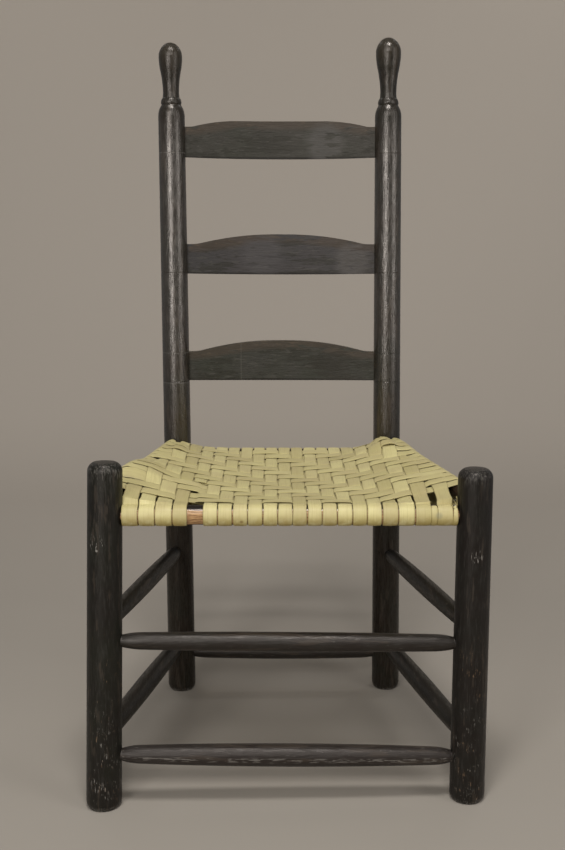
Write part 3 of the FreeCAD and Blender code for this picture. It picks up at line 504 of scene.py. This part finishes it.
def bare_wood(name, dark, pale, shade_from=1.0, shade_full=1.1, shade_below=-1.0):
    material, tree, shader = start_material(name)
    place = add_node(tree, "ShaderNodeTexCoord").outputs["Object"]
    grain = squeezed(tree, place, AXES["across"], STREAK_STRETCH)
    streak = noise(tree, grain, RAIL_STREAK_MM, 4.0, PLAIN_NOISE)
    colour = blend_colour(tree, between(tree, streak, 0.35, 0.65), linear(dark), linear(pale))
    height = add_node(tree, "ShaderNodeSeparateXYZ", {"Vector": place}).outputs["Z"]
    # Painted shade: nearly black above and below the given heights, where the splints close over the rail
    above = between(tree, height, shade_from, shade_full)
    below = between(tree, height, shade_below, shade_below - 1.5 * MM)
    colour = blend_colour(tree, math_node(tree, "MAXIMUM", above, below), colour, linear(RAIL_PAINTED_SHADE))
    tree.links.new(colour, shader.inputs["Base Color"])
    tree.links.new(bump(tree, streak, 0.3, 0.3), shader.inputs["Normal"])
    shader.inputs["Roughness"].default_value = 0.24
    return material


# The front rail gets painted shade above 0.3795 m and below 0.3625 m
dress(["front_seat_rail"], bare_wood("polished_bare_hardwood", "#7A5838", "#BE9566", 0.3795, 0.3815, 0.3625))
dress(["rear_seat_rail", "side_seat_rail_left", "side_seat_rail_right", "slat_pegs"],
      bare_wood("brown_bare_hardwood", "#2C2119", "#45362A"))
print("bare wood on the rails")

# %% [markdown]
# Splint is ash that was split along its growth rings, so each strip has fine lines along its length
# and a slightly different tone from its neighbour. Its pattern has to follow the strip round every
# bend. So each strip's mesh carries three numbers at every point: how far along, how far across, and
# which strip it is, and the material reads those instead of a place in the room. A fourth number says
# how far the nearest edge is, because each strip is painted darker along its edges as painted shade
# between the strips.

# %% Splint: the material
STRIP_DATA = "strip_place"
EDGE_DATA = "strip_edge"
ALONG_STRIP = 0
SPLINT_LINE_MM = 0.9
SPLINT_LINE_STRETCH = 60.0
BLOTCH_MM = 38.0
# Painted shade: the splint is painted darker within this distance of its edges, for the shadows between
# strips
EDGE_SHADE_MM = 1.0
# These heights set where the splint turns darker yellow-brown towards the bottom, in blotches:
WRAP_FROM_Z = 0.378
# partly stains and partly painted shade on the lower side of each loop round a rail
WRAP_FULL_Z = 0.361
SPLINT_TONES = ("#BCAF79", "#D6CA90")
BLOTCH_TINT = "#BAA97C"
LINE_TINT = "#A08F58"
EDGE_SHADE_TINT = "#6E5F36"
WRAP_STAIN_AND_SHADE_TINT = "#A28B45"


def splint(name, marks=()):
    material, tree, shader = start_material(name)
    place = add_node(tree, "ShaderNodeTexCoord").outputs["Object"]
    data = add_node(tree, "ShaderNodeAttribute", attribute_name=STRIP_DATA).outputs["Vector"]
    from_edge = add_node(tree, "ShaderNodeAttribute", attribute_name=EDGE_DATA).outputs["Fac"]
    strip = add_node(tree, "ShaderNodeSeparateXYZ", {"Vector": data}).outputs["Z"]
    tone = add_node(tree, "ShaderNodeTexWhiteNoise", {"W": strip}, noise_dimensions="1D").outputs["Value"]
    lines = noise(tree, squeezed(tree, data, ALONG_STRIP, SPLINT_LINE_STRETCH), SPLINT_LINE_MM, 3.0, 0.6)
    height = add_node(tree, "ShaderNodeSeparateXYZ", {"Vector": place}).outputs["Z"]
    wrap_stain_and_shade = between(tree, height, WRAP_FROM_Z, WRAP_FULL_Z)
    layers = [
        (spots(tree, data, BLOTCH_MM, 0.35, 0.7, 3.0), 0.5, BLOTCH_TINT),
        (between(tree, lines, 0.5, 0.7), 0.35, LINE_TINT),
        # Painted shade along the strip edges
        (between(tree, from_edge, EDGE_SHADE_MM * MM, 0.2 * MM), 0.6, EDGE_SHADE_TINT),
        # Blotchy yellow-brown below a given height: partly stains, partly painted shade under the loops
        (math_node(tree, "MULTIPLY", wrap_stain_and_shade, spots(tree, place, 9.0, 0.3, 0.6)), 0.65, WRAP_STAIN_AND_SHADE_TINT),
    ]
    for mark_place, radius, tint in marks:
        layers.append((between(tree, distance(tree, place, mark_place), radius, radius * 0.35), 0.6, tint))
    colour = blend_colour(tree, tone, linear(SPLINT_TONES[0]), linear(SPLINT_TONES[1]))
    for mask, amount, tint in layers:
        colour = blend_colour(tree, math_node(tree, "MULTIPLY", mask, amount), colour, linear(tint))
    tree.links.new(colour, shader.inputs["Base Color"])
    tree.links.new(bump(tree, lines, 0.5, 0.35), shader.inputs["Normal"])
    shader.inputs["Roughness"].default_value = 0.45
    shader.inputs["IOR"].default_value = 1.38
    return material


# %% [markdown]
# Before weaving we measure the loom. The middle line of each round rail is found from its two end
# rings. The seat's own directions are then across (x) and back (y), and depths are measured from the
# line of the front posts. The top and bottom of the weave hang between the four rails: level beside the
# front and rear rail, dished in the middle.

# %% The rails as lines
END_RING = 0.003
TOP_RING = 0.0002


def rail_line(name, axis):
    points = np.array([vertex.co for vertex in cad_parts[name].data.vertices])
    ends = []
    for value in (points[:, axis].min(), points[:, axis].max()):
        ring = points[abs(points[:, axis] - value) < END_RING]
        ends.append(ring.mean(axis=0))
    return ends


def along_line(line, axis, value):
    share = (value - line[0][axis]) / (line[1][axis] - line[0][axis])
    return line[0] + (line[1] - line[0]) * share


front_rail = rail_line("front_seat_rail", 0)
rear_rail = rail_line("rear_seat_rail", 0)
side_rails = {-1: rail_line("side_seat_rail_left", 1), 1: rail_line("side_seat_rail_right", 1)}
low_corner, high_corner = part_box("rear_seat_rail")
RAIL_RADIUS = (high_corner.z - low_corner.z) / 2
post_tops = np.array([vertex.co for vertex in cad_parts["front_post_right"].data.vertices])
POST_LINE_Y = post_tops[post_tops[:, 2] > post_tops[:, 2].max() - TOP_RING][:, 1].mean()
FRONT_Z = front_rail[0][2]
REAR_Z = rear_rail[0][2]
SIDE_Z = side_rails[-1][0][2]
rail_heights = [round(float(z), 4) for z in (FRONT_Z, REAR_Z, SIDE_Z)]
print("rails at", rail_heights, "post line", round(float(POST_LINE_Y), 4))

# %% [markdown]
# All sizes of the weave are in metres. A strip's reach is how far it runs from the middle line of a
# rail. Its lift is how far it goes up or down to pass another strip, and the pillow is the extra bulge
# of a float. Warps run from front to back and are counted from the left, wefts run from side to side
# and are counted from the front.

# %% The weave's sizes
SEAT_DEPTH = 0.339
SPLINT_THICKNESS = 0.0009
SPLINT_GAP = 0.0004
REACH = RAIL_RADIUS + SPLINT_GAP + SPLINT_THICKNESS / 2
LIFT = 0.00085
PILLOW = 0.0004
WARP_WIDTH = 0.0170
WEFTS = 14
LEFT_CORNER_WARPS = 3
WHOLE_WARPS = 14
RIGHT_CORNER_WARPS = 4
WARPS = LEFT_CORNER_WARPS + WHOLE_WARPS + RIGHT_CORNER_WARPS
WARP_FRONT_PITCH = 0.0181
WARP_REAR_PITCH = 0.0188
CORNER_GAP = 0.0009
CORNER_PINCH = 0.0016
PINCH_BEGINS = (-0.004, 0.012)
PINCH_ENDS = (0.045, 0.02)
CORNER_EDGES_LEFT = [-0.2010, -0.1804, -0.1599, -0.1387]
CORNER_EDGES_RIGHT = [0.1149, 0.1342, 0.1548, 0.1747]
LAST_WARP_EDGES = (0.1814, 0.2001)
FIRST_WARP_FRONT_X = -0.1296
FIRST_WARP_REAR_X = -0.1333
BROKEN_WARP = 5
FIRST_ROW_OF_BROKEN_WARP = 5
WEFT_GAP = 0.0022
TOP_SAG = 0.0085
BOTTOM_SAG = 0.002
TOP = 1
BOTTOM = -1
LEFT = -1
RIGHT = 1
print("rail radius", round(RAIL_RADIUS / MM, 2), "mm")


# %% How far out a point lies: 0 in the middle and 1 at a side rail
def side_rail_x(side, y):
    return along_line(side_rails[side], 1, y)[0]


def outwards(x, y):
    left = side_rail_x(LEFT, y)
    right_x = side_rail_x(RIGHT, y)
    return min(abs(x - (left + right_x) / 2) / ((right_x - left) / 2), 1)


# %% [markdown]
# An old seat is not a perfect dish. Loops have come loose in three places beside the side rails: on the
# left at about a third of the depth, and in the last rows on both sides. The weave's height gets a soft
# swelling there.

# %% Height of the weave
LEFT_LOOP_RISE = 0.0094
LEFT_RIDGE_RISE = 0.0040
RIGHT_LOOP_RISE = 0.0085
RIGHT_RIDGE_RISE = 0.0060
TOP_SHAPE = 1.8
TOP_SHAPE_AT_RAILS = 6.5
BOTTOM_SHAPE = 3.0


def smooth(value, low, high):
    share = min(max((value - low) / (high - low), 0), 1)
    return share * share * (3 - 2 * share)


def loose_loops(x, y):
    back = y - POST_LINE_Y
    out = outwards(x, y)
    back_rows = smooth(back, 0.21, 0.29) * smooth(back, 0.336, 0.305)
    if x > 0:
        swell = RIGHT_LOOP_RISE * smooth(out, 0.40, 0.80) * (1 - 0.56 * smooth(out, 0.90, 1.0))
        ridge = RIGHT_RIDGE_RISE * (smooth(out, 0.77, 0.83) - smooth(out, 0.87, 0.95))
        return back_rows * (swell + ridge)
    front_rows = smooth(back, 0.19, 0.115) * smooth(back, 0.070, 0.092)
    ridge = LEFT_RIDGE_RISE * (smooth(out, 0.80, 0.87) - smooth(out, 0.90, 0.97))
    return front_rows * LEFT_LOOP_RISE * smooth(out, 0.72, 0.95) + back_rows * ridge


def weave_height(layer, x, y):
    share = (y - POST_LINE_Y) / SEAT_DEPTH
    sag = TOP_SAG if layer == TOP else BOTTOM_SAG
    hung = FRONT_Z + (REAR_Z - FRONT_Z) * share - sag * 4 * share * (1 - share)
    shape = BOTTOM_SHAPE
    if layer == TOP:
        shape = TOP_SHAPE + (TOP_SHAPE_AT_RAILS - TOP_SHAPE) * abs(share * 2 - 1) ** 4
    height = hung + (SIDE_Z - hung) * outwards(x, y) ** shape + layer * REACH
    return height + (loose_loops(x, y) if layer == TOP else 0)


# %% [markdown]
# The rows of wefts are not quite straight. Beside the side rails the first row starts further back and
# the last row ends further forward, and all rows share the depth between evenly.

# %% Lines between the wefts
MIDDLE_START = 0.0065
MIDDLE_END = 0.009
SIDE_START = {LEFT: 0.027, RIGHT: 0.035}
START_BEND = {LEFT: (0.32, 0.88), RIGHT: (0.42, 0.75)}
SIDE_END = 0.0222
END_SHAPE = 2.5


def row_ends(x, y):
    side = LEFT if x < 0 else RIGHT
    out = outwards(x, y)
    start = POST_LINE_Y + MIDDLE_START + (SIDE_START[side] - MIDDLE_START) * smooth(out, *START_BEND[side])
    end = POST_LINE_Y + SEAT_DEPTH - MIDDLE_END - (SIDE_END - MIDDLE_END) * out ** END_SHAPE
    return start, end


def row_y(row, x):
    y = POST_LINE_Y + SEAT_DEPTH * row / WEFTS
    for _ in range(3):
        start, end = row_ends(x, y)
        y = start + (end - start) * row / WEFTS
    return y


def row_at(x, y):
    start, end = row_ends(x, y)
    return (y - start) / (end - start) * WEFTS


# %% [markdown]
# Fourteen warps fan out a little towards the back. The seat is wider in front, so more warps fill its
# corners: three on the left and four on the right, each at its own measured place. A corner warp ends
# at the last row where enough of its width is left beside the side rail. A small random drift keeps the
# lines from looking ruled.

# %% Middle lines and widths of the warps
wander = random.Random(7)
warp_drift = [[wander.uniform(-0.0004, 0.0004) for _ in range(2)] for _ in range(WARPS + 1)]
front_slots = {}


def corner_slots(first_column, edges):
    for column, (left, right_x) in enumerate(zip(edges, edges[1:]), first_column):
        front_slots[column] = ((left + right_x) / 2, right_x - left - CORNER_GAP)


corner_slots(1, CORNER_EDGES_LEFT)
for index in range(WHOLE_WARPS):
    front_slots[LEFT_CORNER_WARPS + 1 + index] = (FIRST_WARP_FRONT_X + WARP_FRONT_PITCH * index, WARP_WIDTH)
corner_slots(LEFT_CORNER_WARPS + WHOLE_WARPS + 1, CORNER_EDGES_RIGHT)
front_slots[WARPS] = (sum(LAST_WARP_EDGES) / 2, LAST_WARP_EDGES[1] - LAST_WARP_EDGES[0])
slots_mm = {column: (round(x / MM, 1), round(w / MM, 1)) for column, (x, w) in front_slots.items()}
print("front slots, mm", slots_mm)


def warp_x(column, y):
    share = (y - POST_LINE_Y) / SEAT_DEPTH
    whole = min(max(column - LEFT_CORNER_WARPS - 1, 0), WHOLE_WARPS - 1)
    slant = FIRST_WARP_REAR_X - FIRST_WARP_FRONT_X + (WARP_REAR_PITCH - WARP_FRONT_PITCH) * whole
    front_drift, rear_drift = warp_drift[column]
    return front_slots[column][0] + slant * share + front_drift + (rear_drift - front_drift) * share


def warp_edges(column, y):
    x = warp_x(column, y)
    back = y - POST_LINE_Y
    in_corner = column <= LEFT_CORNER_WARPS or column > WARPS - RIGHT_CORNER_WARPS
    pinch = CORNER_PINCH * smooth(back, *PINCH_BEGINS) * smooth(back, *PINCH_ENDS) * in_corner
    half = (front_slots[column][1] - pinch) / 2
    left = side_rail_x(LEFT, y) + REACH + SPLINT_THICKNESS
    right_x = side_rail_x(RIGHT, y) - REACH - SPLINT_THICKNESS
    return max(x - half, left), min(x + half, right_x)


NARROWEST_TAIL = 0.4


def last_row(column):
    rows = 0
    for row in range(1, WEFTS + 1):
        left, right_x = warp_edges(column, row_y(row, warp_x(column, POST_LINE_Y)))
        if right_x - left > NARROWEST_TAIL * WARP_WIDTH:
            rows = row
    return rows


last_rows = {column: last_row(column) for column in range(1, WARPS + 1)}
print("rows of each warp", last_rows)


# %% [markdown]
# The pattern is a twill: every splint passes over two and under two, and each row starts one further
# along. A splint's height is its place in the weave plus or minus a small lift, and it changes softly
# in the gap between two crossing splints.

# %% Over and under
def crosses(column, row, layer):
    if column == BROKEN_WARP and layer == TOP and row < FIRST_ROW_OF_BROKEN_WARP:
        return False
    return row <= last_rows[column]


def weft_is_outside(column, row):
    return (column + row) % 4 in (0, 3)


def stepped(value, borders, levels, ease):
    level = levels[0]
    for border, before, after in zip(borders, levels, levels[1:]):
        if before != after:
            level += (after - before) * smooth(value, border - ease, border + ease)
    return level


# Half the length of a change from over to under: in rows for a warp, in metres for a weft
ROW_EASE = 0.17
COLUMN_EASE = 0.0024


def warp_levels(column):
    levels = [0] + [-LIFT if weft_is_outside(column, row) else LIFT for row in range(1, WEFTS + 1)] + [0]
    return list(range(WEFTS + 1)), levels


def weft_levels(row, layer, y):
    columns = [column for column in range(1, WARPS + 1) if crosses(column, row, layer)]
    middles = [warp_x(column, y) for column in columns]
    borders = [middles[0] - front_slots[columns[0]][1] / 2]
    levels = [0]
    for index, column in enumerate(columns):
        levels.append(LIFT if weft_is_outside(column, row) else -LIFT)
        if index + 1 < len(columns):
            borders.append((middles[index] + middles[index + 1]) / 2)
    borders.append(middles[-1] + front_slots[columns[-1]][1] / 2)
    levels.append(0)
    return columns, borders, levels


# A float bulges most at its middle; count is its place in rows or columns, and the wave has a period of four
def bulge(count):
    return PILLOW * math.cos(math.pi / 2 * count)


# %% [markdown]
# A strip is a thin bar with softly rounded edges, bent along a row of stations. A station is just the
# two edge points of the strip. The direction out of the strip follows from its edges and its run, so
# the same function makes a strip that lies flat, dips, or goes round a rail.

# %% The points of a strip
PROFILE = [
    (0.0, 0.1), (0.035, 0.9), (0.1, 1.0), (0.3, 1.0), (0.5, 1.0),
    (0.7, 1.0), (0.9, 1.0), (0.965, 0.9), (1.0, 0.1),
]
RING = PROFILE + [(share, -rise) for share, rise in reversed(PROFILE)]
CAMBER = 0.00035
FULL_TURN = 6.3
WAVES = 4
WAVE_LENGTHS = (0.02, 0.09)
WAVE_SIZES = (0.00008, 0.0002)
SHARP_DEGREES = 50


def edge_waves(seed):
    phase = random.Random(seed)
    return [(phase.uniform(*WAVE_LENGTHS), phase.uniform(0, FULL_TURN), phase.uniform(*WAVE_SIZES))
            for _ in range(WAVES)]


def strip_points(first_edge, second_edge, seed):
    first = np.array(first_edge, float)
    second = np.array(second_edge, float)
    middle = (first + second) / 2
    run = np.gradient(middle, axis=0)
    across = second - first
    width = np.linalg.norm(across, axis=1)
    out = np.cross(across, run)
    out /= np.linalg.norm(out, axis=1)[:, None]
    steps = np.linalg.norm(np.diff(middle, axis=0), axis=1)
    travelled = np.concatenate([[0], np.cumsum(steps)])
    waves = edge_waves(seed)
    vertices = []
    data = []
    edge_data = []
    for index in range(len(middle)):
        sway = sum(size * math.sin(travelled[index] / length * FULL_TURN + turn)
                   for length, turn, size in waves)
        for share, rise in RING:
            edge_sway = across[index] / width[index] * sway * (share - 0.5) * 2
            camber = CAMBER * (1 - (share * 2 - 1) ** 2)
            point = first[index] + across[index] * share + edge_sway
            point = point + out[index] * (rise * SPLINT_THICKNESS / 2 + camber)
            vertices.append(tuple(point))
            data.append((travelled[index], share * width[index], seed))
            edge_data.append(min(share, 1 - share) * width[index])
    return vertices, data, edge_data


# %% A strip from its stations
def strip_faces(stations):
    count = len(RING)
    faces = []
    for index in range(stations - 1):
        for corner in range(count):
            after = (corner + 1) % count
            low = index * count
            faces.append((low + corner, low + after, low + count + after, low + count + corner))
    last = (stations - 1) * count
    faces.append(tuple(range(count))[::-1])
    faces.append(tuple(range(last, last + count)))
    return faces


def add_values(mesh, name, kind, field, values):
    attribute = mesh.attributes.new(name, kind, "POINT")
    attribute.data.foreach_set(field, np.array(values, np.float32).ravel())


def strip_mesh(name, first_edge, second_edge, seed, material):
    vertices, data, edge_data = strip_points(first_edge, second_edge, seed)
    mesh = bpy.data.meshes.new(name)
    mesh.from_pydata(vertices, [], strip_faces(len(first_edge)))
    mesh.validate()
    mesh.shade_smooth()
    mesh.set_sharp_from_angle(angle=math.radians(SHARP_DEGREES))
    add_values(mesh, STRIP_DATA, "FLOAT_VECTOR", "vector", data)
    add_values(mesh, EDGE_DATA, "FLOAT", "value", edge_data)
    mesh.materials.append(material)
    piece = bpy.data.objects.new(name, mesh)
    bpy.context.scene.collection.objects.link(piece)
    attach(piece, "root")
    return piece


def length_mm(piece):
    return round(piece.data.attributes[STRIP_DATA].data[-1].vector[0] / MM)


# %% [markdown]
# A warp runs from front to back. We list its stations along the bottom, round the front rail, over the
# top, round the rear rail and back to the middle of the bottom. Corner warps that reach the last row
# pass round the rear rail too, the shorter ones stop where they get too narrow, and the broken warp
# starts where it has torn.

# %% Stations of a warp
RUN_STEP = 0.0025
WRAP_STEPS = 16


def warp_station(column, layer, y):
    borders, levels = warp_levels(column)
    station = []
    for x in warp_edges(column, y):
        row = row_at(x, y)
        lift = stepped(row, borders, levels, ROW_EASE) + bulge(row + column - 1)
        station.append((x, y, weave_height(layer, x, y) + layer * lift))
    return station


def warp_run(column, layer, start_y, end_y):
    count = max(int(abs(end_y - start_y) / RUN_STEP), 2)
    places = [start_y + (end_y - start_y) * step / count for step in range(count + 1)]
    return [warp_station(column, layer, y) for y in places]


def warp_wrap(column, rail, way):
    stations = []
    for step in range(WRAP_STEPS + 1):
        turn = math.pi * step / WRAP_STEPS
        station = []
        for x in warp_edges(column, along_line(rail, 0, 0)[1]):
            axis = along_line(rail, 0, x)
            station.append((x, axis[1] + way * REACH * math.sin(turn), axis[2] + REACH * math.cos(turn)))
        stations.append(station)
    return stations


# %% Weave the warps
FRONT_CREST = along_line(front_rail, 0, 0)[1]
REAR_CREST = along_line(rear_rail, 0, 0)[1]
CLEAR = 0.0018
seat_middle = POST_LINE_Y + SEAT_DEPTH / 2
STAINS = [
    ((-0.0555, FRONT_CREST - REACH, 0.366), 0.0028, "#7A5D33"),
    ((0.183, FRONT_CREST - REACH, 0.374), 0.006, "#9A9372"),
]
splint_material = splint("aged_ash_splint", STAINS)
warps = {}


def warp_route(column):
    start = FRONT_CREST + CLEAR
    end = REAR_CREST - CLEAR
    if column == BROKEN_WARP:
        torn_y = row_y(FIRST_ROW_OF_BROKEN_WARP - 1, warp_x(column, POST_LINE_Y)) + WEFT_GAP
        route = warp_run(column, TOP, torn_y, end) + warp_wrap(column, rear_rail, 1)
        return route + warp_run(column, BOTTOM, end, POST_LINE_Y + MIDDLE_START)
    round_front = warp_wrap(column, front_rail, -1)[::-1]
    if last_rows[column] == WEFTS:
        route = warp_run(column, BOTTOM, seat_middle - WEFT_GAP, start) + round_front
        route += warp_run(column, TOP, start, end) + warp_wrap(column, rear_rail, 1)
        return route + warp_run(column, BOTTOM, end, seat_middle + WEFT_GAP)
    tail_y = row_y(last_rows[column], warp_x(column, seat_middle)) - WEFT_GAP
    return warp_run(column, BOTTOM, tail_y, start) + round_front + warp_run(column, TOP, start, tail_y)


for column in range(1, WARPS + 1):
    route = warp_route(column)
    first_edges = [station[0] for station in route]
    second_edges = [station[1] for station in route]
    piece = strip_mesh(f"woven_warp_{column:02d}", first_edges, second_edges, column, splint_material)
    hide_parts(f"seat_warp_{column:02d}")
    warps[column] = piece
print("warps woven:", len(warps), "lengths in mm:", [length_mm(piece) for piece in warps.values()])

# %% [markdown]
# A weft runs from side to side and goes round the side rails, which stand further apart at the front.
# Where a loop has come loose, the strip also leans out from the rail.

# %% Stations of a weft
LOOP_LEAN = 0.4


def weft_edge_y(row, x, edge):
    if edge == 0:
        return row_y(row - 1, x) + WEFT_GAP / 2
    return row_y(row, x) - WEFT_GAP / 2


def weft_side_points(row):
    points = {}
    for side in (LEFT, RIGHT):
        for edge in (0, 1):
            y = seat_middle
            for _ in range(3):
                y = weft_edge_y(row, side_rail_x(side, y), edge)
            points[side, edge] = y
    return points


def weft_run(row, layer, start_share, end_share):
    side_points = weft_side_points(row)
    span = side_rail_x(RIGHT, seat_middle) - side_rail_x(LEFT, seat_middle)
    count = max(int(abs(end_share - start_share) * span / RUN_STEP), 2)
    columns, borders, levels = weft_levels(row, layer, row_y(row - 0.5, 0))
    counts = [columns[0] - 1] + columns
    stations = []
    for step in range(count + 1):
        share = start_share + (end_share - start_share) * step / count
        station = []
        for edge in (0, 1):
            left_x = side_rail_x(LEFT, side_points[LEFT, edge])
            right_x = side_rail_x(RIGHT, side_points[RIGHT, edge])
            x = left_x + (right_x - left_x) * share
            y = weft_edge_y(row, x, edge)
            column = float(np.interp(x, borders, counts))
            lift = stepped(x, borders, levels, COLUMN_EASE) + bulge(column + row - 3)
            station.append((x, y, weave_height(layer, x, y) + layer * lift))
        stations.append(station)
    return stations


def weft_wrap(row, side):
    side_points = weft_side_points(row)
    stations = []
    for step in range(WRAP_STEPS + 1):
        turn = math.pi * step / WRAP_STEPS
        station = []
        for edge in (0, 1):
            y = side_points[side, edge]
            x = side_rail_x(side, y)
            rise = loose_loops(x, y) * (1 + math.cos(turn)) / 2
            station.append((x + side * (REACH + rise * LOOP_LEAN) * math.sin(turn), y,
                            SIDE_Z + REACH * math.cos(turn) + rise))
        stations.append(station)
    return stations


# %% Weave the wefts
SHARE_CLEAR = 0.005
wefts = {}
for row in range(1, WEFTS + 1):
    route = weft_run(row, BOTTOM, 0.5 - SHARE_CLEAR, SHARE_CLEAR)
    route += weft_wrap(row, LEFT)[::-1]
    route += weft_run(row, TOP, SHARE_CLEAR, 1 - SHARE_CLEAR)
    route += weft_wrap(row, RIGHT)
    route += weft_run(row, BOTTOM, 1 - SHARE_CLEAR, 0.5 + SHARE_CLEAR)
    first_edges = [station[1] for station in route]
    second_edges = [station[0] for station in route]
    piece = strip_mesh(f"woven_weft_{row:02d}", first_edges, second_edges, WARPS + row, splint_material)
    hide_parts(f"seat_weft_{row:02d}")
    wefts[row] = piece
print("wefts woven:", len(wefts), "lengths in mm:", [length_mm(piece) for piece in wefts.values()])

# %% [markdown]
# Age has torn the seat beside the right front post. A narrow sliver of one splint and the stub of
# another still hug the rail, and a few loose fibres stick out of the stub. They are made as the other
# strips are, cut short and drawn in a little at the torn end. Each torn strip is given by its left and
# right edge, its two ends in half turns round the rail, and a seed, and the stub's torn end also stands
# off a little. Each fibre is given by its start, the point that it bends towards, and its end.

# %% Torn remnants
TORN_STEPS = 18
TORN_END = (0.88, 1.0)
TORN_NARROWING = 0.25
FIBRE_WIDTH = 0.0010
FIBRE_SEED = 50


def torn_strip(name, left_x, right_x, start_turn, end_turn, seed, outside=0.0):
    first_edges = []
    second_edges = []
    for step in range(TORN_STEPS + 1):
        share = step / TORN_STEPS
        turn = math.pi * (end_turn + (start_turn - end_turn) * share)
        narrow = 1 - TORN_NARROWING * smooth(share, *TORN_END)
        middle = (left_x + right_x) / 2
        half = (right_x - left_x) / 2 * narrow
        radius = REACH + outside * smooth(share, 0.5, 1.0)
        for edges, x in ((first_edges, middle - half), (second_edges, middle + half)):
            axis = along_line(front_rail, 0, x)
            edges.append((x, axis[1] - radius * math.sin(turn), axis[2] + radius * math.cos(turn)))
    return strip_mesh(name, first_edges, second_edges, seed, splint_material)


def fibre(name, start, bend, end, seed):
    first_edges = []
    second_edges = []
    for step in range(TORN_STEPS + 1):
        share = step / TORN_STEPS
        point = Vector(start) * (1 - share) ** 2 + Vector(bend) * 2 * share * (1 - share)
        point += Vector(end) * share ** 2
        run = (Vector(bend) - Vector(start)) * (1 - share) + (Vector(end) - Vector(bend)) * share
        across = run.cross(Vector((0, 1, 0))).normalized() * FIBRE_WIDTH / 2
        first_edges.append(point - across)
        second_edges.append(point + across)
    return strip_mesh(name, first_edges, second_edges, seed, splint_material)


torn_strip("torn_sliver", 0.1736, 0.1818, 0.12, 1.15, 41)
torn_strip("torn_stub", 0.2003, 0.2062, 0.14, 1.15, 42, 0.0006)
FIBRES = [
    ((0.2050, -0.1700, 0.3835), (0.2030, -0.1600, 0.3930), (0.1990, -0.1480, 0.3880)),
    ((0.2065, -0.1660, 0.3850), (0.2040, -0.1560, 0.3860), (0.2010, -0.1600, 0.3845)),
    ((0.2040, -0.1720, 0.3820), (0.2060, -0.1690, 0.3880), (0.2064, -0.1560, 0.3930)),
    ((0.2030, -0.1730, 0.3800), (0.1995, -0.1730, 0.3850), (0.1990, -0.1640, 0.3860)),
]
for number, (start, bend, end) in enumerate(FIBRES, 1):
    fibre(f"torn_fibre_{number}", start, bend, end, FIBRE_SEED + number)
print("torn remnants:", 2, "strips and", len(FIBRES), "fibres")
